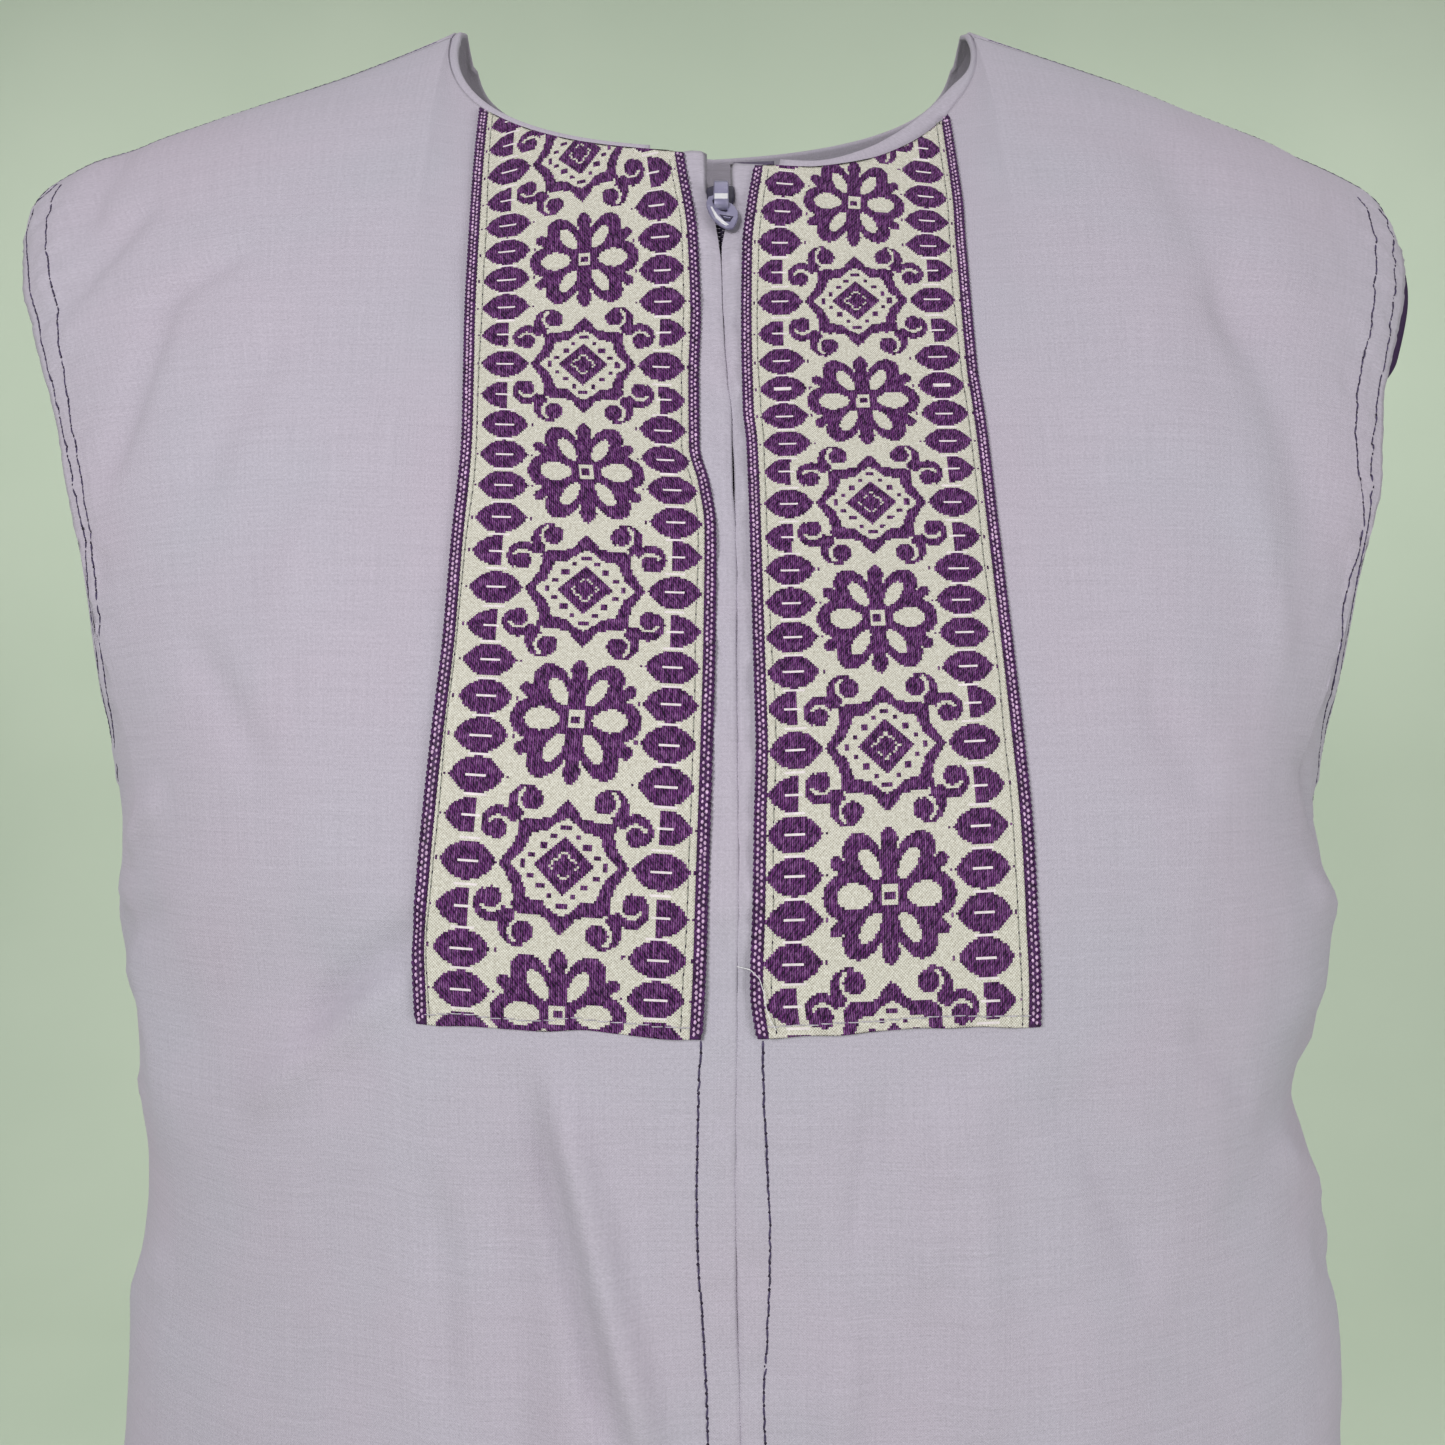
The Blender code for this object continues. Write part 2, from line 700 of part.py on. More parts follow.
def add_facings(trees, collection):
    dark = material("dark_facing")
    for side, name in ((-1, "armhole_facing_right"), (1, "armhole_facing_left")):
        centre = Vector((side * ARMHOLE_MIDDLE_X, CENTRE_Y, ARMHOLE_MIDDLE_Z))
        reach = (ARM_FACING_OUT, FACING_IN * 0.5, FACING_IN)
        columns = strip_along(trees[side], armhole_edge(side), centre, reach, ARM_INSIDE)
        add_sheet(name, [columns], TRIM, dark, collection)
    reach = (NECK_FACING_OUT, FACING_IN * 0.35, FACING_IN)
    patches = []
    for side in (-1, 1):
        columns = strip_along(trees[side], neck_edge(side), Vector((0, 0, NECK_TOP / 2)), reach, INSIDE)
        if side > 0:
            columns[-1] = patches[0][-1]
        patches.append(columns)
    add_sheet("neck_facing", patches, TRIM, material("facing"), collection)


# Zip
def zip_rows(top):
    return [top + (ZIP_BOTTOM_Z - top) * (k / ZIP_ROWS) ** ZIP_CROWD for k in range(ZIP_ROWS + 1)]


def add_tape(name, side, finish, collection):
    rows = zip_rows(NECK_TOP - FRONT_NECK_DROP - TAPE_SETBACK)
    columns = []
    for k in range(TAPE_COLUMNS + 1):
        x = TAPE_INNER + (TAPE_OUTER - TAPE_INNER) * k / TAPE_COLUMNS
        columns.append([laid_point(x, z, side, -INSIDE) for z in rows])
    add_sheet(name, [columns], TRIM, finish, collection)


def add_coil(collection):
    rows = zip_rows(PIVOT_Z + COIL_RISE)
    columns = []
    for x in (-COIL_HALF, 0.0, COIL_HALF):
        side = 1 if x >= 0 else -1
        columns.append([laid_point(abs(x), z, side, -INSIDE) for z in rows])
    add_sheet("zip_coil", [columns], COIL_THICK, material("coil", 0.5), collection)


def slider_frame():
    """The pivot of the pull tab and the tilt of the front there, about the X axis."""
    here = laid_point(0.0, PIVOT_Z, 1, PIVOT_OUT)
    above = front_point(0.0, PIVOT_Z + 2, 1)
    below = front_point(0.0, PIVOT_Z - 2, 1)
    return here, math.atan2(above.y - below.y, above.z - below.z)


def set_on_pivot(obj):
    here, tilt = slider_frame()
    obj.location = here * MM
    obj.rotation_euler = (-tilt, 0.0, 0.0)


def outline(name, loops, thickness, finish, collection):
    """A flat plate cut from closed loops of points, its thickness centred on its own plane."""
    shape = bpy.data.curves.new(name, "CURVE")
    shape.dimensions = "2D"
    shape.fill_mode = "BOTH"
    shape.extrude = thickness / 2 * MM
    for loop in loops:
        line = shape.splines.new("POLY")
        line.points.add(len(loop) - 1)
        line.use_cyclic_u = True
        for point, (x, y) in zip(line.points, loop):
            point.co = (x * MM, y * MM, 0.0, 1.0)
    curve = bpy.data.objects.new(name + "_outline", shape)
    collection.objects.link(curve)
    bpy.context.view_layer.update()
    mesh = bpy.data.meshes.new_from_object(curve.evaluated_get(bpy.context.evaluated_depsgraph_get()))
    bpy.data.objects.remove(curve)
    mesh.materials.clear()
    return add_object(name, mesh, finish, collection)


def place_outline(obj, place):
    """Welds the plate's caps and moves its points from the plane where it was drawn to their place."""
    work = bmesh.new()
    work.from_mesh(obj.data)
    bmesh.ops.remove_doubles(work, verts=work.verts, dist=WELD)
    for vert in work.verts:
        vert.co = place(*vert.co)
    bmesh.ops.recalc_face_normals(work, faces=work.faces)
    work.to_mesh(obj.data)
    work.free()


def half_circle(radius, middle, start, steps):
    """Points of a half circle about (0, middle), from this angle in half turns."""
    angles = [math.pi * (start + k / steps) for k in range(steps + 1)]
    return [(radius * math.cos(angle), middle + radius * math.sin(angle)) for angle in angles]


def add_slider(finish, collection):
    """The slider's crown between the two folds, with the bridge that holds the pull tab."""
    front = -(BRIDGE_INNER + 0.1)
    back = -PIVOT_OUT - INSIDE + COIL_THICK / 2 + GAP
    work = bmesh.new()
    bmesh.ops.create_cube(work, size=1.0)
    for vert in work.verts:
        wide = SLIDER_WIDTH * (1.0 if vert.co.z > 0 else SLIDER_TAPER)
        deep = -(front + back) / 2 + vert.co.y * (front - back)
        vert.co = Vector((vert.co.x * wide, deep, vert.co.z * SLIDER_LENGTH)) * MM
    bmesh.ops.bevel(work, geom=work.edges[:], offset=SLIDER_ROUND * MM, segments=2, affect="EDGES")
    mesh = bpy.data.meshes.new("zip_slider")
    work.to_mesh(mesh)
    work.free()
    slider = add_object("zip_slider", mesh, finish, collection)
    foot = front - BRIDGE_ROOT
    arch = [(BRIDGE_OUTER, foot)] + half_circle(BRIDGE_OUTER, 0.0, 0.0, BRIDGE_STEPS)
    arch += [(-BRIDGE_OUTER, foot), (-BRIDGE_INNER, foot)]
    arch += half_circle(BRIDGE_INNER, 0.0, 0.0, BRIDGE_STEPS)[::-1] + [(BRIDGE_INNER, foot)]
    bridge = outline("bridge", [arch], BRIDGE_WIDTH, finish, collection)
    place_outline(bridge, lambda along, up, across: (across, -up, along))
    for obj in (slider, bridge):
        set_on_pivot(obj)
    join = slider.modifiers.new("bridge", "BOOLEAN")
    join.operation = "UNION"
    join.solver = "EXACT"
    join.object = bridge
    bridge.hide_render = True
    bridge.display_type = "WIRE"


def add_tab(finish, collection):
    """The pull tab hangs from the bridge by the bar above its hole, and turns about that bar."""
    loop = [(TAB_TOP_HALF, TAB_BAR_HALF), (-TAB_TOP_HALF, TAB_BAR_HALF)]
    loop += half_circle(TAB_WIDTH / 2, TAB_WIDTH / 2 - TAB_LENGTH, 1.0, TAB_STEPS)
    hole = [(x, -drop) for x, drop in (
        (TAB_HOLE_HALF, TAB_HOLE_TOP),
        (TAB_HOLE_HALF, TAB_HOLE_BOTTOM),
        (-TAB_HOLE_HALF, TAB_HOLE_BOTTOM),
        (-TAB_HOLE_HALF, TAB_HOLE_TOP),
    )]
    tab = outline("zip_pull_tab", [loop, hole], TAB_THICK, finish, collection)
    place_outline(tab, lambda x, up, out: (x, -out, up))
    set_on_pivot(tab)


def main():
    clear_scene()
    garment = bpy.data.collections.new("sleeveless_tunic_top")
    bpy.context.scene.collection.children.link(garment)
    trees = add_panels(garment)
    ribbon = material("ribbon")
    add_ribbon("ribbon_right", -1, trees[-1], ribbon, garment)
    add_ribbon("ribbon_left", 1, trees[1], ribbon, garment)
    add_facings(trees, garment)
    tape = material("tape")
    add_tape("zip_tape_right", -1, tape, garment)
    add_tape("zip_tape_left", 1, tape, garment)
    add_coil(garment)
    metal = material("metal", 0.4, 0.6)
    add_slider(metal, garment)
    add_tab(metal, garment)


main()
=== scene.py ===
"""Looks of the sleeveless tunic top, built round its fixed frame.

The cloth is thin shells on the solids' own form, with the finer creases. The ribbons, the sewing and
the zip lie on those shells. Sizes are in millimetres until a mesh is made. The frame is the part's own:
+Z up, the front faces -Y and the wearer's left is +X.

A panel is a sheet of columns. A column is named by a number: 0 is the centre line, 1 runs down from the
neck end of the shoulder, 2 is the armhole edge and the line below it, and 3 is the side seam.
"""

import math
from collections import namedtuple

import bmesh
import bpy
import numpy as np
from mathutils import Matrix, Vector
from mathutils.bvhtree import BVHTree
from mathutils.kdtree import KDTree


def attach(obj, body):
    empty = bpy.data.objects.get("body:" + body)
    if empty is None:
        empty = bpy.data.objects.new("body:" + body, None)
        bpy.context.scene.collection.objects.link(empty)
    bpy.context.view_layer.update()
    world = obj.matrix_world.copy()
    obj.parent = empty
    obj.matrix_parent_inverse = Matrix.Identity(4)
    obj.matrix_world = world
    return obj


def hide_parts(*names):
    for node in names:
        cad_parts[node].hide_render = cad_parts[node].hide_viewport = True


MM = 0.001
SIDES = {-1: "right", 1: "left"}
FACES = {-1: "front", 1: "back"}

# Camera and room
CAMERA_AT = (0.0, -0.370, -0.175)
PHOTO_SIZE = 1445.0
PHOTO_FOCAL = 1300.0
SENSOR = 36.0
FLOOR_Z = -0.86
WALL_Y = 1.7

# Form of the garment, as in the solids
NECK_HALF = 72.0
NECK_TOP = 20.0
FRONT_NECK_DROP = 51.0
BACK_NECK_DROP = 13.0
FRONT_NECK_ROUND = 2.8
BACK_NECK_ROUND = 2.6
SHOULDER_TIP = 193.5
SHOULDER_FALL_Z = -40.0
SEAM_FORWARD = 11.0
ARMHOLE_FRONT_Z = -125.0
UNDERARM_Z = -198.0
ARMHOLE_ANGLE = math.radians(58)
ARMHOLE_MIDDLE_X = 175.0
ARMHOLE_MIDDLE_Z = -112.0
BUST_Z = -212.0
CENTRE_Y = 5.0
RING_ROUND = 2.5
HEM_Z = -680.0
ZIP_BOTTOM_Z = -560.0
PIVOT_Z = -44.0
PIVOT_OUT = 2.6
RIBBON_FOOT_Z = -237.0
AROUND_NECK_END = 72.0
AROUND_ARMHOLE = 144.0
AROUND_SEAM = 222.0
HALF_ROUND = 2 * AROUND_SEAM

# Layers, as distances out from the middle of the solids' cloth
CLOTH_OUT = 0.6
CLOTH_IN = -0.05
TURNED_EXTRA = 0.3
SEAM = 0.05
TAPE_LAYER = -1.85
CREAM_OUT = 1.35
FLOAT_RISE = 0.34
RIBBON_UNDER = 0.64
THREAD_RISE = 0.08

# Sewing
HEM_STITCHES_UP = 17.6
HEM_TURN = 19.5
PLACKET_STITCHES = (-239, -577)
Stitching = namedtuple("Stitching", "pitch radius")
STITCHING = {
    "placket": Stitching(2.75, 0.25),
    "armhole": Stitching(2.9, 0.23),
    "shoulder": Stitching(2.7, 0.15),
    "hem": Stitching(3.0, 0.17),
}
SEEN_PITCH = 4.0
FIRST_DEPTH = 370.0
FACING_FROM_X = 16.4

# Zip
TAPE_FROM = 2.1
TAPE_TO = 14.0
TAPE_HALF = 0.3
TOOTH_PITCH = 1.25
TOOTH_MIDDLE = 0.75
TOOTH_OUT = 0.45

Section = namedtuple("Section", "z half_width front back")
SECTIONS = [
    Section(-212, 160.5, 113.0, 100.0),
    Section(-245, 158.0, 112.0, 96.0),
    Section(-285, 154.5, 109.0, 92.0),
    Section(-345, 159.5, 105.0, 90.0),
    Section(-450, 169.0, 106.0, 95.0),
    Section(-570, 180.0, 110.0, 103.0),
    Section(-680, 191.0, 114.0, 109.0),
]

Ridge = namedtuple("Ridge", "x z")
SHOULDER_RIDGE = [
    Ridge(72, 20.0),
    Ridge(95, 12.5),
    Ridge(118, 4.5),
    Ridge(142, -4.0),
    Ridge(163, -11.0),
    Ridge(180, -18.0),
    Ridge(189, -25.0),
    Ridge(193.5, -36.0),
]

Profile = namedtuple("Profile", "column front back spread")
PROFILES = [
    Profile(0.0, 1.3, 2.8, 1.0),
    Profile(1.0, 1.45, 2.3, 1.5),
    Profile(1.5, 1.7, 2.1, 1.5),
    Profile(2.0, 1.75, 1.9, 1.5),
    Profile(3.0, 1.75, 1.9, 1.5),
]

Dip = namedtuple("Dip", "share panel facing")
LEFT_NECK_DIPS = [
    Dip(0.0, 3.0, 2.0),
    Dip(0.2, 5.0, 3.5),
    Dip(0.38, 7.0, 5.4),
    Dip(0.53, 7.2, 4.0),
    Dip(0.67, 6.0, 1.0),
    Dip(0.8, 3.5, -2.5),
    Dip(0.88, 1.0, -4.0),
    Dip(1.0, 0.0, 0.0),
]

Lean = namedtuple("Lean", "z shift")
LEAN = [
    Lean(22, -3.0),
    Lean(-33, -2.0),
    Lean(-150, 0.0),
    Lean(-250, 2.0),
    Lean(-340, 3.0),
    Lean(-680, 3.0),
]

# The opening between the folded front edges: half its width, and how far it lies to the wearer's left
Slot = namedtuple("Slot", "z half shift")
ZIP_SLOT = [
    Slot(20, 3.6, 0.9),
    Slot(-38, 3.1, 1.0),
    Slot(-46, 2.9, 1.3),
    Slot(-50, 2.2, 1.3),
    Slot(-53.7, 1.4, 1.25),
    Slot(-56.7, 1.0, 1.1),
    Slot(-60, 0.55, 1.0),
    Slot(-63.5, 0.35, 1.2),
    Slot(-75, 0.3, 1.25),
    Slot(-86, 0.36, 1.5),
    Slot(-98, 0.26, 2.05),
    Slot(-103, 0.12, 2.6),
    Slot(-108, 0.3, 2.8),
    Slot(-116.6, 0.55, 2.9),
    Slot(-122.6, 0.6, 2.95),
    Slot(-128, 0.4, 3.0),
    Slot(-133, 0.08, 3.0),
    Slot(-146, 0.08, 3.0),
    Slot(-156, 0.4, 2.85),
    Slot(-163, 0.3, 2.65),
    Slot(-183, 0.18, 2.3),
    Slot(-195, 0.08, 2.1),
    Slot(-212, 0.08, 1.75),
    Slot(-224, 0.08, 1.3),
    Slot(-241, 0.08, 0.9),
    Slot(-253, 0.08, 0.5),
    Slot(-273, 0.08, 0.15),
    Slot(-285, 0.3, 0.2),
    Slot(-295, 0.4, 0.25),
    Slot(-304, 0.3, 0.35),
    Slot(-312, 0.08, 0.5),
    Slot(-340, 0.08, 0.6),
    Slot(-400, 0.08, 0.2),
    Slot(-680, 0.08, 0.0),
]

RibbonEdge = namedtuple("RibbonEdge", "z inner outer")
RIBBON_EDGES = {
    -1: [
        RibbonEdge(-18, 9.6, 59.7),
        RibbonEdge(-36, 7.6, 59.4),
        RibbonEdge(-58, 4.8, 58.8),
        RibbonEdge(-80, 4.2, 58.2),
        RibbonEdge(-98, 4.8, 57.4),
        RibbonEdge(-114, 4.8, 56.9),
        RibbonEdge(-123, 2.7, 57.2),
        RibbonEdge(-133, 1.4, 57.8),
        RibbonEdge(-157, 1.9, 58.8),
        RibbonEdge(-179, 2.8, 60.8),
        RibbonEdge(-205, 4.1, 63.1),
        RibbonEdge(-225, 5.1, 64.6),
        RibbonEdge(-240, 6.2, 64.2),
    ],
    1: [
        RibbonEdge(-18, 12.5, 59.7),
        RibbonEdge(-36, 10.2, 59.7),
        RibbonEdge(-48, 8.2, 59.7),
        RibbonEdge(-61, 6.6, 59.1),
        RibbonEdge(-95, 5.7, 58.4),
        RibbonEdge(-105, 5.7, 58.9),
        RibbonEdge(-113, 6.3, 59.2),
        RibbonEdge(-132, 6.5, 59.7),
        RibbonEdge(-177, 6.5, 61.5),
        RibbonEdge(-196, 5.6, 62.3),
        RibbonEdge(-212, 4.9, 62.5),
        RibbonEdge(-229, 4.1, 63.1),
        RibbonEdge(-240, 5.4, 62.8),
    ],
}

# The two sides differ: how far each is drawn in from the shared outline, by height
Pull = namedtuple("Pull", "z right left")
SIDE_PULL = [
    Pull(22, 0.0, 3.8),
    Pull(-27, -1.0, 3.9),
    Pull(-45, 0.3, 3.4),
    Pull(-62, 1.2, 2.6),
    Pull(-88, 1.8, 3.3),
    Pull(-98, 1.9, 1.8),
    Pull(-106, 1.4, 0.5),
    Pull(-120, 0.2, -1.7),
    Pull(-138, 0.0, -0.3),
    Pull(-151, -0.4, 0.6),
    Pull(-166, 0.2, 2.6),
    Pull(-180, 2.0, 5.4),
    Pull(-195, 2.3, 6.8),
    Pull(-209, 1.0, 4.3),
    Pull(-223, -1.8, 0.9),
    Pull(-238, -2.4, 0.8),
    Pull(-252, -2.8, 5.6),
    Pull(-266, -2.2, 8.2),
    Pull(-281, -0.2, 3.0),
    Pull(-296, -0.2, -0.4),
    Pull(-310, -1.5, -3.0),
    Pull(-325, -2.7, -2.9),
    Pull(-340, -2.0, -2.5),
    Pull(-355, -1.6, -1.0),
    Pull(-375, -1.4, 0.0),
    Pull(-430, 0.0, 0.0),
]
PULL_FROM_X = 100.0
PULL_REACH = 55.0

# How much lower than the shared ridge each shoulder lies, by distance from the centre
Drop = namedtuple("Drop", "x right left")
SHOULDER_DROP = [
    Drop(72, 0.0, 0.0),
    Drop(87, 2.0, 0.4),
    Drop(104, 3.4, 1.5),
    Drop(139, 3.6, 2.1),
    Drop(156, 3.6, 2.7),
    Drop(166, 3.2, 4.2),
    Drop(181, 2.5, 4.6),
    Drop(193, 1.2, 4.2),
]
DROP_FROM_Z = -140.0
DROP_REACH = 100.0

# Folds are straight lines in the flat of the garment: around is millimetres from the centre front,
# minus on the wearer's right, through the side seam at 222 to the centre back at 444
Fold = namedtuple(
    "Fold", "around_top z_top around_bottom z_bottom width height open_below", defaults=[False]
)
FOLDS = [
    Fold(-196, -236, -252, -210, 15, 6.0),
    Fold(-146, -242, -204, -268, 16, -3.5),
    Fold(192, -232, 252, -216, 14, 6.0),
    Fold(-70, -222, -150, -250, 16, -2.5),
    Fold(-36, -250, -22, -520, 20, 3.0),
    Fold(66, -250, 84, -500, 22, 2.5),
    Fold(-130, -12, -141, -62, 10, -2.5),
    Fold(126, -14, 112, -80, 11, 2.0),
    Fold(-140, -320, -150, -680, 24, 6.0, True),
    Fold(-88, -380, -84, -680, 20, -5.0, True),
    Fold(-36, -440, -30, -680, 18, 3.5, True),
    Fold(40, -420, 42, -680, 20, -4.5, True),
    Fold(96, -340, 104, -680, 24, 6.0, True),
    Fold(156, -400, 164, -680, 20, -4.5, True),
    Fold(225, -360, 228, -680, 24, 5.0, True),
    Fold(290, -380, 296, -680, 22, -5.0, True),
    Fold(352, -330, 350, -680, 26, 7.0, True),
    Fold(418, -400, 414, -680, 20, -4.5, True),
    Fold(-398, -350, -396, -680, 26, 6.0, True),
    Fold(-330, -400, -336, -680, 22, -5.0, True),
    Fold(-262, -350, -268, -680, 24, 6.0, True),
    Fold(-206, -420, -208, -680, 20, -4.0, True),
    Fold(342, -70, 380, -190, 26, 3.0),
    Fold(-342, -80, -384, -200, 26, 3.0),
]

# Finer creases, which only these shells have
CREASES = [
    Fold(-122, -5, -137, -52, 3.2, -2.4),
    Fold(-115, -64, -138, -124, 3.2, -2.6),
    Fold(-127, -12, -142, -58, 4.0, 2.0),
    Fold(97, -10, 119, -94, 7.0, -3.0),
    Fold(109, -56, 136, -144, 7.0, -2.8),
    Fold(91, -20, 95, -120, 8.0, 1.6),
    Fold(-60, -214, -100, -244, 4.0, -3.2),
    Fold(-62, -224, -116, -262, 4.4, 2.8),
    Fold(-126, -216, -196, -236, 5.0, -2.3),
    Fold(-164, -250, -212, -236, 4.5, -2.8),
    Fold(-176, -262, -214, -284, 5.0, 2.3),
    Fold(170, -214, 212, -240, 5.0, -2.3),
    Fold(166, -250, 212, -262, 5.5, 2.3),
    Fold(140, -212, 196, -224, 5.0, 1.9),
    Fold(-38, -238, -15, -336, 4.0, 4.2),
    Fold(-46, -240, -44, -400, 8.0, -2.8),
    Fold(48, -242, 52, -340, 6.0, 2.0),
    Fold(62, -240, 96, -300, 6.0, -1.9),
    Fold(-20, -300, -14, -430, 5.0, 1.6),
    Fold(22, -270, 18, -420, 5.0, 1.6),
    Fold(320, -60, 342, -150, 6.0, 2.0),
    Fold(-320, -66, -346, -160, 6.0, 2.0),
    Fold(262, -214, 330, -236, 6.0, -2.6),
    Fold(-266, -216, -326, -244, 6.0, -2.6),
    Fold(250, -246, 300, -262, 6.0, 2.3),
    Fold(-250, -250, -304, -262, 6.0, 2.3),
    Fold(400, -200, 380, -330, 9.0, 2.8),
    Fold(-410, -210, -396, -340, 9.0, 2.8),
    Fold(436, -40, 430, -180, 10.0, -2.0),
    Fold(-380, -360, -372, -520, 8.0, -3.0),
    Fold(372, -350, 366, -540, 8.0, -3.0),
    Fold(-116, -34, -145, -76, 3.0, -2.6),
    Fold(-99, -56, -127, -76, 3.0, -2.2),
    Fold(-90, -70, -118, -132, 5.0, -1.4),
    Fold(-74, -100, -100, -160, 6.0, 1.3),
    Fold(-122, -150, -98, -190, 5.0, -1.3),
    Fold(-130, -190, -158, -206, 4.0, 1.9),
    Fold(-150, -222, -196, -222, 3.6, -1.9),
    Fold(-140, -300, -186, -322, 6.0, 1.7),
    Fold(-62, -262, -60, -330, 4.5, -1.6),
    Fold(-44, -240, -22, -338, 3.6, -2.2),
    Fold(30, -246, 24, -286, 3.4, -1.4),
    Fold(44, -244, 38, -300, 4.0, 1.6),
    Fold(98, -236, 128, -262, 4.5, -1.3),
    Fold(86, -160, 110, -196, 6.0, -1.3),
    Fold(110, -110, 130, -170, 5.0, 1.3),
    Fold(136, -180, 176, -204, 4.0, -1.7),
    Fold(132, -270, 186, -296, 6.0, 2.0),
    Fold(150, -300, 200, -322, 5.0, -1.7),
]

# Where the lines of topstitching run beside the folded front edges, from the centre line
StitchLine = namedtuple("StitchLine", "z right left")
PLACKET_LINES = [
    StitchLine(-236, 6.3, 6.2),
    StitchLine(-241, 6.4, 6.3),
    StitchLine(-253, 6.9, 6.45),
    StitchLine(-265, 7.4, 6.9),
    StitchLine(-274, 7.65, 7.2),
    StitchLine(-284, 7.55, 7.35),
    StitchLine(-294, 7.05, 6.8),
    StitchLine(-304, 6.55, 6.4),
    StitchLine(-313, 6.2, 5.6),
    StitchLine(-324, 6.0, 5.85),
    StitchLine(-340, 6.1, 6.0),
    StitchLine(-578, 6.0, 6.0),
]

# How far in from the armhole edge its two rows of topstitching run, by height
ArmholeRow = namedtuple("ArmholeRow", "z outer inner")
ARMHOLE_ROWS = {
    -1: [
        ArmholeRow(-20, 2.6, 10.0),
        ArmholeRow(-37, 2.7, 11.0),
        ArmholeRow(-50, 3.6, 11.7),
        ArmholeRow(-66, 4.1, 11.9),
        ArmholeRow(-78, 2.8, 9.7),
        ArmholeRow(-89, 2.0, 7.4),
        ArmholeRow(-108, 1.7, 5.9),
        ArmholeRow(-198, 1.7, 6.2),
    ],
    1: [
        ArmholeRow(-20, 3.2, 14.0),
        ArmholeRow(-37, 2.8, 14.0),
        ArmholeRow(-51, 2.2, 12.0),
        ArmholeRow(-63, 1.7, 8.9),
        ArmholeRow(-75, 1.6, 9.2),
        ArmholeRow(-87, 1.6, 12.0),
        ArmholeRow(-96, 1.6, 13.2),
        ArmholeRow(-110, 1.6, 10.0),
        ArmholeRow(-126, 1.7, 6.5),
        ArmholeRow(-198, 1.7, 6.4),
    ],
}

# The same rows on the front, where the photograph shows them, as its pixels from the shoulder down
Seen = namedtuple("Seen", "px py")
SEEN_ROWS = {
    (-1, "outer"): [
        Seen(74, 172), Seen(62, 181), Seen(48, 191), Seen(38, 201), Seen(32, 211), Seen(28, 225),
        Seen(27, 253), Seen(29, 277), Seen(34, 303), Seen(40, 332), Seen(46, 355), Seen(51, 380),
        Seen(57, 405), Seen(63, 432), Seen(70, 465), Seen(78, 500), Seen(83, 530), Seen(88, 560),
    ],
    (-1, "inner"): [
        Seen(66, 180), Seen(57, 190), Seen(51, 202), Seen(47, 217), Seen(46, 240), Seen(48, 262),
        Seen(51, 281), Seen(56, 300), Seen(59, 330), Seen(62, 360), Seen(66, 392), Seen(72, 430),
        Seen(78, 461), Seen(85, 500), Seen(91, 530), Seen(93, 556), Seen(95, 580),
    ],
    (1, "outer"): [
        Seen(1372, 202), Seen(1382, 211), Seen(1389, 222), Seen(1394, 243), Seen(1395, 267),
        Seen(1394, 293), Seen(1392, 317), Seen(1388, 340), Seen(1384, 367), Seen(1380, 387),
        Seen(1376, 407), Seen(1374, 427), Seen(1372, 450), Seen(1371, 477), Seen(1370, 500),
        Seen(1367, 530), Seen(1363, 560),
    ],
    (1, "inner"): [
        Seen(1352, 190), Seen(1366, 206), Seen(1373, 231), Seen(1376, 257), Seen(1376, 280),
        Seen(1373, 307), Seen(1368, 340), Seen(1363, 360), Seen(1359, 383), Seen(1355, 407),
        Seen(1354, 433), Seen(1356, 460), Seen(1360, 483), Seen(1364, 508), Seen(1365, 530),
        Seen(1361, 560),
    ],
}

# Heights of the ribbons' own repeat, counted from a flower's middle, at both columns of leaves
REPEAT = 59.0
ROW_REACH = 19.6
RowMark = namedtuple("RowMark", "count inner outer")
RIBBON_ROWS = {
    -1: [
        RowMark(-1.0, 9.0, -11.0),
        RowMark(-0.793, -5.5, -23.2),
        RowMark(-0.5, -27.2, -40.3),
        RowMark(-0.207, -49.6, -56.7),
        RowMark(0.07, -68.6, -72.1),
        RowMark(0.344, -85.8, -86.8),
        RowMark(0.5, -94.6, -94.2),
        RowMark(0.793, -110.4, -109.1),
        RowMark(1.069, -124.8, -123.7),
        RowMark(1.344, -139.9, -138.5),
        RowMark(1.5, -147.9, -146.6),
        RowMark(1.793, -163.9, -162.1),
        RowMark(2.07, -179.9, -177.8),
        RowMark(2.344, -196.8, -194.1),
        RowMark(2.5, -205.2, -203.0),
        RowMark(2.793, -222.5, -220.5),
        RowMark(2.93, -230.6, -229.0),
        RowMark(3.2, -246.5, -245.0),
    ],
    1: [
        RowMark(-0.8, 3.0, -5.0),
        RowMark(-0.344, -25.5, -32.4),
        RowMark(-0.07, -43.0, -48.0),
        RowMark(0.07, -51.8, -55.5),
        RowMark(0.344, -69.3, -69.5),
        RowMark(0.5, -77.6, -77.6),
        RowMark(0.793, -93.3, -92.6),
        RowMark(1.069, -107.1, -106.6),
        RowMark(1.344, -120.5, -119.9),
        RowMark(1.5, -127.9, -127.5),
        RowMark(1.793, -142.8, -142.3),
        RowMark(2.07, -157.6, -156.4),
        RowMark(2.344, -172.4, -171.0),
        RowMark(2.5, -181.0, -179.1),
        RowMark(2.793, -197.8, -196.1),
        RowMark(3.07, -214.8, -213.6),
        RowMark(3.344, -232.0, -231.4),
        RowMark(3.7, -254.0, -253.5),
    ],
}

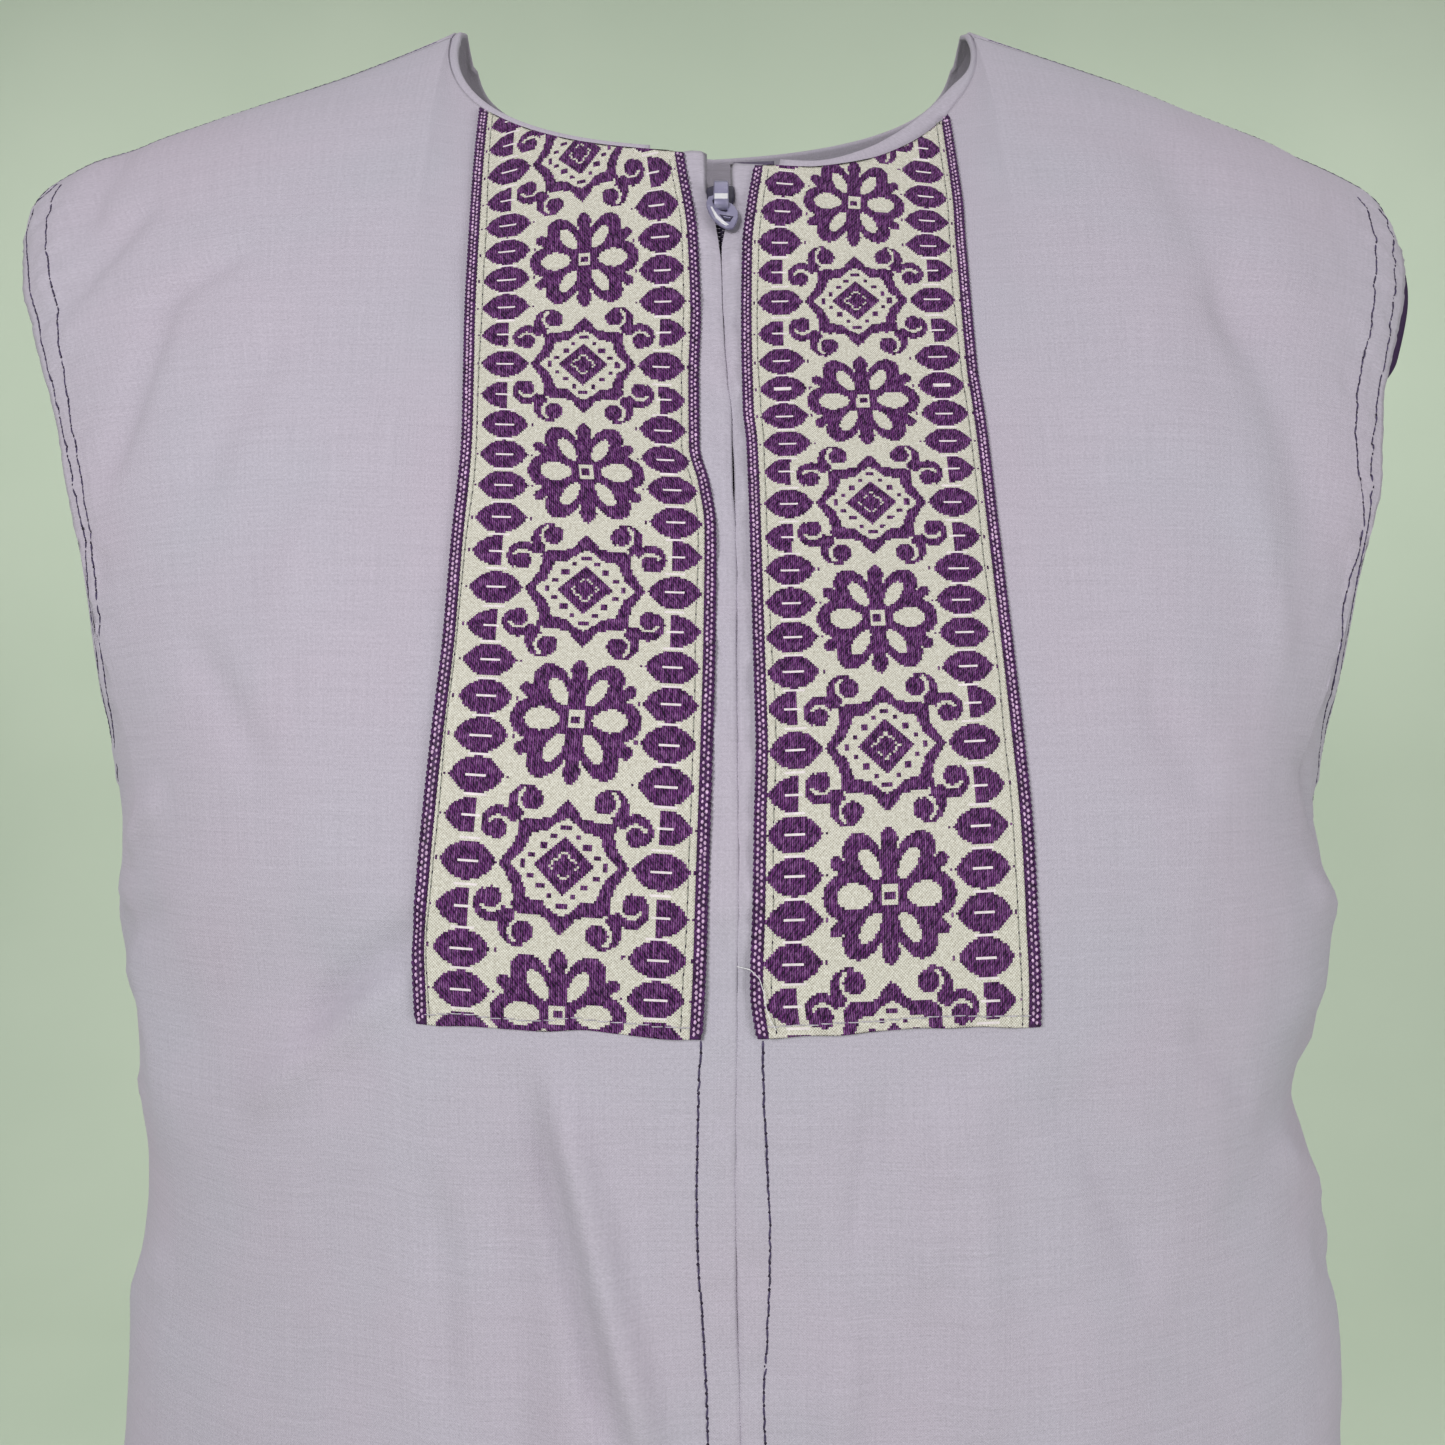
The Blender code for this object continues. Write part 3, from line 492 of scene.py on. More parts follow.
# How far the pattern lies nearer the centre front than the ribbon's own middle
PatternShift = namedtuple("PatternShift", "z right left")
PATTERN_SHIFT = [
    PatternShift(-40, 0.0, 0.2),
    PatternShift(-100, 0.6, -0.2),
    PatternShift(-120, 0.9, 0.2),
    PatternShift(-154, 0.9, 1.0),
    PatternShift(-209, 0.4, 1.4),
    PatternShift(-237, 0.1, 1.2),
]

RIBBON_WIDTH = 58.0
CELL = 0.47
YARN = RIBBON_WIDTH / 123
BORDER = 2.2
BEAD_PITCH = 0.62
RIBBON_TOP_SETBACK = 1.0
RIBBON_REACH_Z = -30.0


# Tables
def smooth(table, column, at):
    """A table's column at values of its first column, as a cubic with no overshoot."""
    rows = sorted(table, key=lambda row: row[0])
    xs = np.array([row[0] for row in rows], float)
    ys = np.array([getattr(row, column) for row in rows], float)
    steps = np.diff(xs)
    rises = np.diff(ys) / steps
    slopes = np.concatenate([rises[:1], np.zeros(len(xs) - 2), rises[-1:]])
    for k in range(1, len(xs) - 1):
        if rises[k - 1] * rises[k] > 0:
            slopes[k] = 2 * rises[k - 1] * rises[k] / (rises[k - 1] + rises[k])
    at = np.clip(at, xs[0], xs[-1])
    i = np.clip(np.searchsorted(xs, at, side="right") - 1, 0, len(steps) - 1)
    t = (at - xs[i]) / steps[i]
    return (
        ys[i] * (1 + 2 * t) * (1 - t) ** 2
        + slopes[i] * steps[i] * t * (1 - t) ** 2
        + ys[i + 1] * t * t * (3 - 2 * t)
        + slopes[i + 1] * steps[i] * t * t * (t - 1)
    )


def ease(t):
    t = np.clip(t, 0.0, 1.0)
    return t * t * (3 - 2 * t)


def unit(ways):
    """Each way, brought to a length of one."""
    return ways / np.linalg.norm(ways, axis=-1, keepdims=True)


def lengths_along(path):
    """How far along a path each of its points is."""
    return np.concatenate([[0], np.cumsum(np.linalg.norm(np.diff(path, axis=0), axis=1))])


def wobble(s, seed, scale):
    """An uneven wave of about this length, between -1 and 1, the same in each run."""
    total = 0.0
    for k, (pace, share) in enumerate(((1.0, 0.5), (1.73, 0.3), (0.41, 0.35), (2.9, 0.15))):
        total = total + share * np.sin(2 * math.pi * s * pace / scale + seed * (1.7 + k))
    return total / 1.1


# Form of the garment
def bulge(share, roundness):
    """The other share of a rounded corner: 1 where share is 0, and 0 where it is 1."""
    return np.maximum(0.0, 1 - np.minimum(np.abs(share), 1.0) ** roundness) ** (1 / roundness)


def ring_x(column, z):
    half = smooth(SECTIONS, "half_width", z)
    at_armhole = half * math.sin(ARMHOLE_ANGLE)
    middle = NECK_HALF + (at_armhole - NECK_HALF) * (column - 1)
    past = np.clip(column - 2, 0, 1)
    beside = half * np.sin(ARMHOLE_ANGLE + (math.pi / 2 - ARMHOLE_ANGLE) * past)
    return np.where(column <= 1, NECK_HALF * column, np.where(column <= 2, middle, beside))


def ring_y(x, z, face):
    depth = smooth(SECTIONS, FACES[face], z)
    return CENTRE_Y + face * depth * bulge(x / smooth(SECTIONS, "half_width", z), RING_ROUND)


def ridge_of(column):
    x = NECK_HALF + (SHOULDER_TIP - NECK_HALF) * np.clip(column - 1, 0.0, 1.0)
    return np.where(column <= 1, NECK_HALF * column, x), smooth(SHOULDER_RIDGE, "z", x)


def around_of(column, face):
    around = (
        AROUND_NECK_END * np.clip(column, 0, 1)
        + (AROUND_ARMHOLE - AROUND_NECK_END) * np.clip(column - 1, 0, 1)
        + (AROUND_SEAM - AROUND_ARMHOLE) * np.clip(column - 2, 0, 1)
    )
    return around if face < 0 else HALF_ROUND - around


def fold_height(around, z, folds):
    total = np.zeros(np.broadcast(around, z).shape)
    for fold in folds:
        run = (fold.around_bottom - fold.around_top, fold.z_bottom - fold.z_top)
        length = math.hypot(*run)
        for turn in (-2 * HALF_ROUND, 0.0, 2 * HALF_ROUND):
            away = (around + turn - fold.around_top, z - fold.z_top)
            along = (away[0] * run[0] + away[1] * run[1]) / length**2
            across = (away[0] * run[1] - away[1] * run[0]) / length
            fade = ease(along / 0.9) if fold.open_below else ease(along / 0.3) * ease((1 - along) / 0.3)
            near = (np.abs(across) < 3 * fold.width) & (along > -0.2) & (along < 1.2)
            total += np.where(near, fold.height * fade * np.exp(-((across / fold.width) ** 2)), 0.0)
    return total


def own_side(x, z, side):
    """How far one side is drawn in and let down from the shared form at this distance and height."""
    name = SIDES[side]
    pull = smooth(SIDE_PULL, name, z) * ease((x - PULL_FROM_X) / PULL_REACH)
    drop = smooth(SHOULDER_DROP, name, x) * ease((z - DROP_FROM_Z) / DROP_REACH)
    return pull, drop


def sheet_point(column, z, face, side, x=None):
    """Points of the cloth's middle layer. x, where given, replaces the column's own x below the neck."""
    column, z = np.broadcast_arrays(np.asarray(column, float), np.asarray(z, float))
    low_x = ring_x(column, z) if x is None else x
    low_y = ring_y(low_x, z, face)
    base_x = ring_x(column, BUST_Z) if x is None else x
    top_x, top_z = ridge_of(column)
    height = np.clip((z - BUST_Z) / (top_z - BUST_Z), 0.0, 1.0)
    high_x = base_x
    if x is None:
        high_x = base_x + (top_x - base_x) * height ** smooth(PROFILES, "spread", column)
    roundness = smooth(PROFILES, FACES[face], column)
    high_y = ring_y(base_x, BUST_Z, face) * bulge(height, roundness)
    here_x = np.where(z > BUST_Z, high_x, low_x)
    here_y = np.where(z > BUST_Z, high_y, low_y)
    out_x = here_x / smooth(SECTIONS, "half_width", z) ** 2
    out_y = (here_y - CENTRE_Y) / smooth(SECTIONS, "front", z) ** 2
    size = np.hypot(out_x, out_y) + 1e-12
    around = side * around_of(column, face)
    raised = fold_height(around, z, FOLDS) + fold_height(around, z, CREASES)
    pull, drop = own_side(here_x, z, side)
    place_x = side * (here_x - pull + out_x / size * raised) + smooth(LEAN, "shift", z)
    return np.stack([place_x, here_y + out_y / size * raised, z - drop + 0.0 * here_x], -1)


def drawn_aside(points):
    """Moves the front's cloth near the centre to where the folded edges really meet."""
    from_centre = np.abs(points[..., 0] - smooth(LEAN, "shift", points[..., 2]))
    moved = smooth(ZIP_SLOT, "shift", points[..., 2]) * (1 - ease((from_centre - 4) / 10))
    return np.stack([points[..., 0] + moved, points[..., 1], points[..., 2]], -1)


def front_point(x, z, side):
    """Points of the front between the centre and the neck end of the shoulder, by their distance x."""
    return sheet_point(x / NECK_HALF, z, -1, side, x)


def laid_point(x, z, side, out):
    """Points laid this far out from the front's middle layer, and the way out there."""
    x, z = np.broadcast_arrays(np.asarray(x, float), np.asarray(z, float))
    step = 0.4
    across = front_point(x + step, z, side) - front_point(x - step, z, side)
    up = front_point(x, z + step, side) - front_point(x, z - step, side)
    normal = unit(side * np.cross(across, up))
    out = np.broadcast_to(out, x.shape)
    return front_point(x, z, side) + normal * out[..., None], normal


def laid_across(x, z, side, out, step):
    """Points laid on the front, the way from each towards the side by this step, and the way out."""
    places, outs = laid_point(x, z, side, out)
    ahead, _ = laid_point(x + step, z, side, out)
    return places, ahead - places, outs


def neck_curve(turn, face):
    """The neckline at a turn from 0, the centre, to 90 degrees, the neck end of the shoulder."""
    if face < 0:
        drop, roundness = FRONT_NECK_DROP, FRONT_NECK_ROUND
    else:
        drop, roundness = BACK_NECK_DROP, BACK_NECK_ROUND
    x = NECK_HALF * np.sin(turn) ** (2 / roundness)
    return x, NECK_TOP - drop * np.maximum(np.cos(turn), 0.0) ** (2 / roundness)


def neck_dip(x, side, piece):
    return smooth(LEFT_NECK_DIPS, piece, x / NECK_HALF) if side > 0 else 0.0 * x


def height_at(turn, column, face):
    _, top_z = ridge_of(column)
    roundness = smooth(PROFILES, FACES[face], column)
    return BUST_Z + (top_z - BUST_Z) * np.maximum(np.cos(turn), 0.0) ** (2 / roundness)


def turn_at(z, column, face):
    _, top_z = ridge_of(column)
    roundness = smooth(PROFILES, FACES[face], column)
    return np.arccos(np.clip((z - BUST_Z) / (top_z - BUST_Z), 0.0, 1.0) ** (roundness / 2))


def seam_turn(column, forward):
    """The turn of the shoulder seam, which lies this far in front of the ridge."""
    depth = abs(ring_y(ring_x(column, BUST_Z), BUST_Z, -1))
    return np.arcsin((forward / depth) ** (smooth(PROFILES, "front", column) / 2))


# Panels
Grid = namedtuple("Grid", "neck shoulder side to_armhole to_bust to_hem")
FRONT_GRID = Grid(54, 48, 20, 56, 38, 122)
BACK_GRID = Grid(34, 34, 14, 34, 24, 92)
CROWD = 1.3


def hem_rows(grid):
    k = np.arange(1, grid.to_hem + 1) / grid.to_hem
    return BUST_Z + (HEM_Z - BUST_Z) * k**1.12


def row_heights(top_turn, column, face, grid):
    low_turn = turn_at(ARMHOLE_FRONT_Z, column, face)
    turns = top_turn + (low_turn - top_turn) * np.arange(grid.to_armhole + 1) / grid.to_armhole
    k = np.arange(1, grid.to_bust + 1) / grid.to_bust
    rows = [height_at(turns, column, face), ARMHOLE_FRONT_Z + (BUST_Z - ARMHOLE_FRONT_Z) * k]
    return np.concatenate(rows + [hem_rows(grid)])


def neck_column(share, face, side, grid):
    """A column between the centre and the neck end of the shoulder, leaning out to meet the neckline."""
    last_turn = math.pi / 2
    if face < 0:
        last_z = height_at(seam_turn(1.0, SEAM_FORWARD + SEAM), 1.0, -1)
        last_turn = math.acos(((NECK_TOP - last_z) / FRONT_NECK_DROP) ** (FRONT_NECK_ROUND / 2))
    neck_x, neck_z = neck_curve(last_turn * share, face)
    slot = 0.0
    if face < 0:
        slot = smooth(ZIP_SLOT, "half", neck_z)
        neck_x = max(neck_x, slot)
        neck_z = neck_z - neck_dip(neck_x, side, "panel")
    lean = neck_x - slot - (NECK_HALF - slot) * share
    z = row_heights(turn_at(neck_z, share, face), share, face, grid)
    centre = smooth(ZIP_SLOT, "half", z) if face < 0 else 0.0
    lean_in = np.clip((z - BUST_Z) / (neck_z - BUST_Z), 0.0, 1.0) ** 2
    x = centre + (NECK_HALF - centre) * share + lean * lean_in
    points = sheet_point(x / NECK_HALF, z, face, side, x)
    return drawn_aside(points) if face < 0 else points, around_of(share, face) + 0 * z


def shoulder_share(k, grid):
    """The columns of the shoulder crowd towards its tip, where it turns down."""
    return 1 - (1 - k / grid.shoulder) ** CROWD


def shoulder_column(k, face, side, grid):
    column = 1 + shoulder_share(k, grid)
    top_turn = seam_turn(column, SEAM_FORWARD + SEAM) if face < 0 else 0.0
    z = row_heights(top_turn, column, face, grid)
    return sheet_point(column, z, face, side), around_of(column, face) + 0 * z


def side_column(turn, face, side, grid):
    """A column below the armhole, which starts on the quarter of an ellipse under the arm."""
    column = 3 - math.cos(turn)
    top = ARMHOLE_FRONT_Z + (UNDERARM_Z - ARMHOLE_FRONT_Z) * math.sin(turn)
    k = np.arange(grid.to_bust + 1) / grid.to_bust
    z = np.concatenate([top + (BUST_Z - top) * k, hem_rows(grid)])
    points = sheet_point(column, z, face, side)
    if turn == math.pi / 2:
        points = points + np.array([0, face * SEAM, 0])
    return points, around_of(column, face) + 0 * z


def patch_of(columns, bust_row):
    """Points and weave places of a patch. The weave runs by length along each column from the bust."""
    points = np.stack([points for points, _ in columns])
    around = np.stack([around for _, around in columns])
    steps = np.linalg.norm(np.diff(points, axis=1), axis=-1)
    along = np.concatenate([np.zeros((len(points), 1)), np.cumsum(steps, axis=1)], axis=1)
    along = along[:, bust_row:bust_row + 1] - along
    return points, np.stack([around, along], -1)


def half_panel(face, side, grid):
    """The patches of one side of a face: the upper one and the one below the armhole."""
    upper = [neck_column((k / grid.neck) ** CROWD, face, side, grid) for k in range(grid.neck)]
    upper += [shoulder_column(k, face, side, grid) for k in range(grid.shoulder + 1)]
    turns = [math.pi / 2 * k / grid.side for k in range(grid.side + 1)]
    lower = [side_column(turn, face, side, grid) for turn in turns]
    return [patch_of(upper, grid.to_armhole + grid.to_bust), patch_of(lower, grid.to_bust)]


def over_ridge(side, grid):
    """The strip of the back that comes over the ridge of the shoulder to the seam."""
    strip = []
    steps = 8
    for k in range(grid.shoulder + 1):
        column = 1 + shoulder_share(k, grid)
        first = seam_turn(column, SEAM_FORWARD - SEAM)
        turns = first * (1 - np.arange(steps + 1) / steps)
        z = height_at(turns, column, -1)
        strip.append((sheet_point(column, z, -1, side), around_of(column, 1) + 0 * z))
    return patch_of(strip, steps)


# Meshes
def weld(points, faces, extra):
    """Joins points that lie in one place, and drops the faces that this closes up."""
    keys = np.round(points, 3) + 0.0
    _, first, place = np.unique(keys, axis=0, return_index=True, return_inverse=True)
    place = place.reshape(-1)
    faces = place[faces]
    kept = []
    for face in faces:
        ring = [int(v) for k, v in enumerate(face) if v != face[k - 1]]
        if len(set(ring)) > 2:
            kept.append(ring)
    return points[first], kept, extra[first]


def grid_quads(index):
    """The quads between the numbered points of a grid."""
    return np.stack([index[:-1, :-1], index[:-1, 1:], index[1:, 1:], index[1:, :-1]], -1).reshape(-1, 4)


def from_patches(patches, sides):
    """One set of points, faces and weave places from patches. A patch's side turns its faces outwards."""
    points, faces, weave = [], [], []
    start = 0
    for (patch, places), side in zip(patches, sides):
        columns, rows, _ = patch.shape
        index = start + np.arange(columns * rows).reshape(columns, rows)
        quads = grid_quads(index)
        faces.append(quads if side > 0 else quads[:, ::-1])
        points.append(patch.reshape(-1, 3))
        weave.append(places.reshape(-1, 2))
        start += columns * rows
    return weld(np.concatenate(points), np.concatenate(faces), np.concatenate(weave))


def make_object(name, points, faces, weave=None, materials=(), looks=None):
    """A mesh object from points in millimetres. weave gives each point's place in the cloth, in mm."""
    mesh = bpy.data.meshes.new(name)
    mesh.from_pydata((np.asarray(points) * MM).tolist(), [], [list(face) for face in faces])
    for material in materials:
        mesh.materials.append(material)
    if weave is not None:
        layer = mesh.uv_layers.new(name="weave")
        corners = np.zeros(len(mesh.loops), int)
        mesh.loops.foreach_get("vertex_index", corners)
        layer.data.foreach_set("uv", np.asarray(weave)[corners].astype(np.float32).reshape(-1))
    if looks is not None:
        mesh.polygons.foreach_set("material_index", np.asarray(looks, np.int32))
    mesh.polygons.foreach_set("use_smooth", np.full(len(mesh.polygons), True))
    mesh.update()
    obj = bpy.data.objects.new(name, mesh)
    bpy.context.scene.collection.objects.link(obj)
    return obj


def point_normals(points, faces):
    mesh = bpy.data.meshes.new("normals")
    mesh.from_pydata(points.tolist(), [], faces)
    found = np.zeros(len(points) * 3)
    mesh.vertex_normals.foreach_get("vector", found)
    bpy.data.meshes.remove(mesh)
    return found.reshape(-1, 3)


def open_edges(faces):
    """The edges that only one face has, in the direction of that face."""
    once = {}
    for face in faces:
        for k, point in enumerate(face):
            edge = (face[k - 1], point)
            if (edge[1], edge[0]) in once:
                del once[(edge[1], edge[0])]
            else:
                once[edge] = True
    return list(once)


def wall(points, faces, weave, outer, inner):
    """Both faces of a sheet with these distances out from its points, and the edge between them."""
    normals = point_normals(points, faces)
    outer = np.broadcast_to(outer, len(points))[:, None]
    inner = np.broadcast_to(inner, len(points))[:, None]
    count = len(points)
    both = np.concatenate([points + normals * outer, points + normals * inner])
    closed = list(faces) + [[v + count for v in face[::-1]] for face in faces]
    closed += [[b, a, a + count, b + count] for a, b in open_edges(faces)]
    return both, closed, np.concatenate([weave, weave])


def edge_places(points, edge):
    """Each point's distance to an edge, and how far along the edge its nearest place is."""
    lengths = lengths_along(edge)
    tree = KDTree(len(edge))
    for k, point in enumerate(edge):
        tree.insert(point, k)
    tree.balance()
    found = [tree.find(point) for point in points]
    return np.array([row[2] for row in found]), lengths[[row[1] for row in found]]


def tree_of(points, faces):
    return BVHTree.FromPolygons([Vector(p) for p in points], [list(face) for face in faces])


def on_cloth(tree, target, out):
    """The cloth's point nearest the target, moved out from the body, and the way out there."""
    point, normal, _, _ = tree.find_nearest(Vector(target))
    away = Vector((point.x, point.y - CENTRE_Y, max(point.z - SHOULDER_FALL_Z, 0.0)))
    if normal.dot(away) < 0:
        normal = -normal
    return np.array(point + normal * out), np.array(normal)


def resample(path, pitch):
    """Points at an even distance along a path."""
    path = np.asarray(path, float)
    lengths = lengths_along(path)
    count = max(int(round(lengths[-1] / pitch)), 1)
    at = np.linspace(0, lengths[-1], count + 1)
    return np.stack([np.interp(at, lengths, path[:, k]) for k in range(3)], -1)


# Edges
def armhole_edge(side):
    edge = []
    for face in (-1, 1):
        last = turn_at(ARMHOLE_FRONT_Z, 2.0, face)
        run = sheet_point(2.0, height_at(last * np.arange(61) / 60, 2.0, face), face, side)
        turn = math.pi / 2 * np.arange(1, 49) / 48
        z = ARMHOLE_FRONT_Z + (UNDERARM_Z - ARMHOLE_FRONT_Z) * np.sin(turn)
        run = np.concatenate([run, sheet_point(3 - np.cos(turn), z, face, side)])
        edge.append(run if face < 0 else run[-2::-1])
    return np.concatenate(edge)


def neck_edge(side, first_x, piece):
    """One side of a piece's neckline, from the zip over the shoulder to the centre back."""
    first = math.asin((first_x / NECK_HALF) ** (FRONT_NECK_ROUND / 2))
    x, z = neck_curve(first + (math.pi / 2 - first) * np.arange(61) / 60, -1)
    front = front_point(np.minimum(x, NECK_HALF), z - neck_dip(x, side, piece), side)
    x, z = neck_curve(math.pi / 2 * np.arange(47, -1, -1) / 48, 1)
    return np.concatenate([front, sheet_point(x / NECK_HALF, z, 1, side, x)])


# Materials
def principled(name, **values):
    made = bpy.data.materials.new(name)
    made.use_nodes = True
    shader = made.node_tree.nodes["Principled BSDF"]
    for key, value in values.items():
        shader.inputs[key.replace("_", " ")].default_value = value
    return made, made.node_tree, shader


def node(tree, kind, inputs=None, **settings):
    made = tree.nodes.new("ShaderNode" + kind)
    for key, value in settings.items():
        setattr(made, key, value)
    for key, value in (inputs or {}).items():
        if isinstance(value, bpy.types.NodeSocket):
            tree.links.new(value, made.inputs[key])
        else:
            made.inputs[key].default_value = value
    return made


def math_node(tree, operation, *values):
    return node(tree, "Math", dict(enumerate(values)), operation=operation).outputs[0]


def total(tree, first, *others):
    """The sum of these values."""
    for other in others:
        first = math_node(tree, "ADD", first, other)
    return first


def product(tree, first, second):
    return math_node(tree, "MULTIPLY", first, second)


def paint(tree, shader, colour):
    tree.links.new(colour, shader.inputs["Base Color"])


def mix_colour(tree, share, first, second, blend="MIX"):
    made = node(tree, "Mix", {0: share, 6: first, 7: second}, data_type="RGBA", blend_type=blend)
    return made.outputs[2]


def noise(tree, place, scale, stretch=(1, 1, 1), detail=2.0, roughness=0.5):
    mapped = node(tree, "Mapping", {"Vector": place, "Scale": stretch})
    values = {"Vector": mapped.outputs[0], "Scale": scale, "Detail": detail, "Roughness": roughness}
    return node(tree, "TexNoise", values).outputs["Fac"]


def threads(tree, place, pitch):
    """The height of a plain weave of this pitch: warp and weft pass over each other by turns."""
    parts = node(tree, "SeparateXYZ", {0: place})
    turns = math.pi / pitch
    warp = math_node(tree, "SINE", product(tree, parts.outputs[0], turns))
    weft = math_node(tree, "SINE", product(tree, parts.outputs[1], turns))
    return product(tree, warp, weft)


def spread(tree, value, low, high):
    """A noise value stretched so that its usual range fills this one."""
    inputs = {"Value": value, "From Min": 0.3, "From Max": 0.7, "To Min": low, "To Max": high}
    return node(tree, "MapRange", inputs).outputs[0]


def bump(tree, shader, height, strength, distance):
    made = node(tree, "Bump", {"Height": height, "Strength": strength, "Distance": distance})
    tree.links.new(made.outputs[0], shader.inputs["Normal"])


def cloth_material(name, colour, pitch=0.3, depth=1.0):
    """Plain weave with uneven yarns: streaks along warp and weft, a pink and a blue cast, and nap."""
    made, tree, shader = principled(name, Roughness=0.92, Specular_IOR_Level=0.1)
    shader.inputs["Sheen Weight"].default_value = 0.1
    shader.inputs["Sheen Roughness"].default_value = 0.5
    place = node(tree, "UVMap", uv_map="weave").outputs[0]
    weft = noise(tree, place, 1.0, (0.055, 2.3, 1), 3.0)
    warp = noise(tree, place, 1.0, (2.6, 0.035, 1), 3.0)
    slub = noise(tree, place, 1.0, (0.03, 0.75, 1), 4.0, 0.65)
    patchy = noise(tree, place, 1.0, (0.02, 0.017, 1), 3.0)
    grain = noise(tree, place, 1.0, (1.7, 1.7, 1), 2.0, 0.6)
    streaks = [spread(tree, weft, -0.03, 0.03), spread(tree, warp, -0.03, 0.03)]
    light = total(tree, *streaks, spread(tree, slub, -0.025, 0.025), spread(tree, grain, 0.92, 1.08))
    share = spread(tree, patchy, 0.0, 1.0)
    cast = mix_colour(tree, share, (1.018, 0.985, 1.0, 1), (0.985, 1.010, 1.008, 1))
    tinted = mix_colour(tree, 1.0, (*colour, 1), cast, "MULTIPLY")
    grey = node(tree, "CombineColor", {0: light, 1: light, 2: light}).outputs[0]
    paint(tree, shader, mix_colour(tree, 1.0, tinted, grey, "MULTIPLY"))
    crossings = product(tree, threads(tree, place, pitch), 0.3)
    height = total(tree, crossings, weft, warp, product(tree, grain, 0.8), slub)
    bump(tree, shader, height, 0.6 * depth, 0.00014)
    return made


def cream_material():
    made, tree, shader = principled("ribbon_cream", Roughness=0.85, Specular_IOR_Level=0.12)
    place = node(tree, "UVMap", uv_map="weave").outputs[0]
    weave = threads(tree, place, 0.3)
    grain = noise(tree, place, 1.0, (1.5, 1.5, 1), 2.0)
    # partly painted shade: the cream is darker where the weave's threads dip under, and the grain adds
    # random tone
    share = total(tree, product(tree, weave, 0.45), spread(tree, grain, 0.15, 0.75))
    paint(tree, shader, mix_colour(tree, share, (0.54, 0.50, 0.42, 1), (0.96, 0.93, 0.84, 1)))
    bump(tree, shader, total(tree, weave, grain), 0.8, 0.00014)
    return made


def float_material():
    """The raised purple yarns: each cell's width is one yarn that runs up and down the ribbon, with a
    slanting twist; the colour has painted shade at yarn sides and painted highlights on the twist and
    flecks."""
    made, tree, shader = principled("ribbon_purple", Roughness=0.6, Specular_IOR_Level=0.22)
    place = node(tree, "UVMap", uv_map="weave").outputs[0]
    parts = node(tree, "SeparateXYZ", {0: place})
    across = product(tree, parts.outputs[0], math.pi / YARN)
    yarn = math_node(tree, "ABSOLUTE", math_node(tree, "COSINE", across))
    uneven = product(tree, noise(tree, place, 0.5), 9.0)
    slant = total(tree, product(tree, parts.outputs[1], 5.6), across, uneven)
    twist = product(tree, math_node(tree, "SINE", slant), 0.5)
    strand = noise(tree, place, 1.0, (1.5, 0.3, 1), 2.0, 0.6)
    fleck = noise(tree, place, 1.0, (1.4, 0.6, 1), 3.0, 0.6)
    # painted shade and highlight: each yarn is darker at its sides and lighter at its middle and along
    # its twist
    share = product(tree, yarn, total(tree, spread(tree, strand, -0.1, 1.2), twist))
    dark = mix_colour(tree, share, (0.016, 0.003, 0.024, 1), (0.165, 0.030, 0.195, 1))
    # painted highlight: pale flecks of light on the middle of some yarns
    painted_highlight = product(tree, yarn, spread(tree, fleck, -0.6, 0.95))
    paint(tree, shader, mix_colour(tree, painted_highlight, dark, (0.40, 0.16, 0.44, 1)))
    bump(tree, shader, total(tree, yarn, product(tree, twist, 0.5), fleck), 0.9, 0.00025)
    return made


def thread_material(name, colour, variety=0.3):
    made, tree, shader = principled(name, Roughness=0.6, Specular_IOR_Level=0.3)
    place = node(tree, "TexCoord").outputs["Object"]
    share = spread(tree, noise(tree, place, 900.0), 0.0, 1.0)
    dark = tuple(c * (1 - variety) for c in colour)
    light = tuple(min(c * (1 + variety), 1.0) for c in colour)
    paint(tree, shader, mix_colour(tree, share, (*dark, 1), (*light, 1)))
    bump(tree, shader, noise(tree, place, 2600.0), 0.4, 0.0001)
    return made


def metal_material(name, colour, metallic, roughness, wear):
    """Lacquered metal: the paint is thin and wears through to a lighter colour where the noise says so.
    """
    made, tree, shader = principled(name, Metallic=metallic, Roughness=roughness)
    place = node(tree, "TexCoord").outputs["Object"]
    share = spread(tree, noise(tree, place, 700.0, detail=4.0), -0.6, 0.5)
    paint(tree, shader, mix_colour(tree, share, (*colour, 1), (*wear, 1)))
    bump(tree, shader, noise(tree, place, 1500.0), 0.15, 0.0001)
    return made


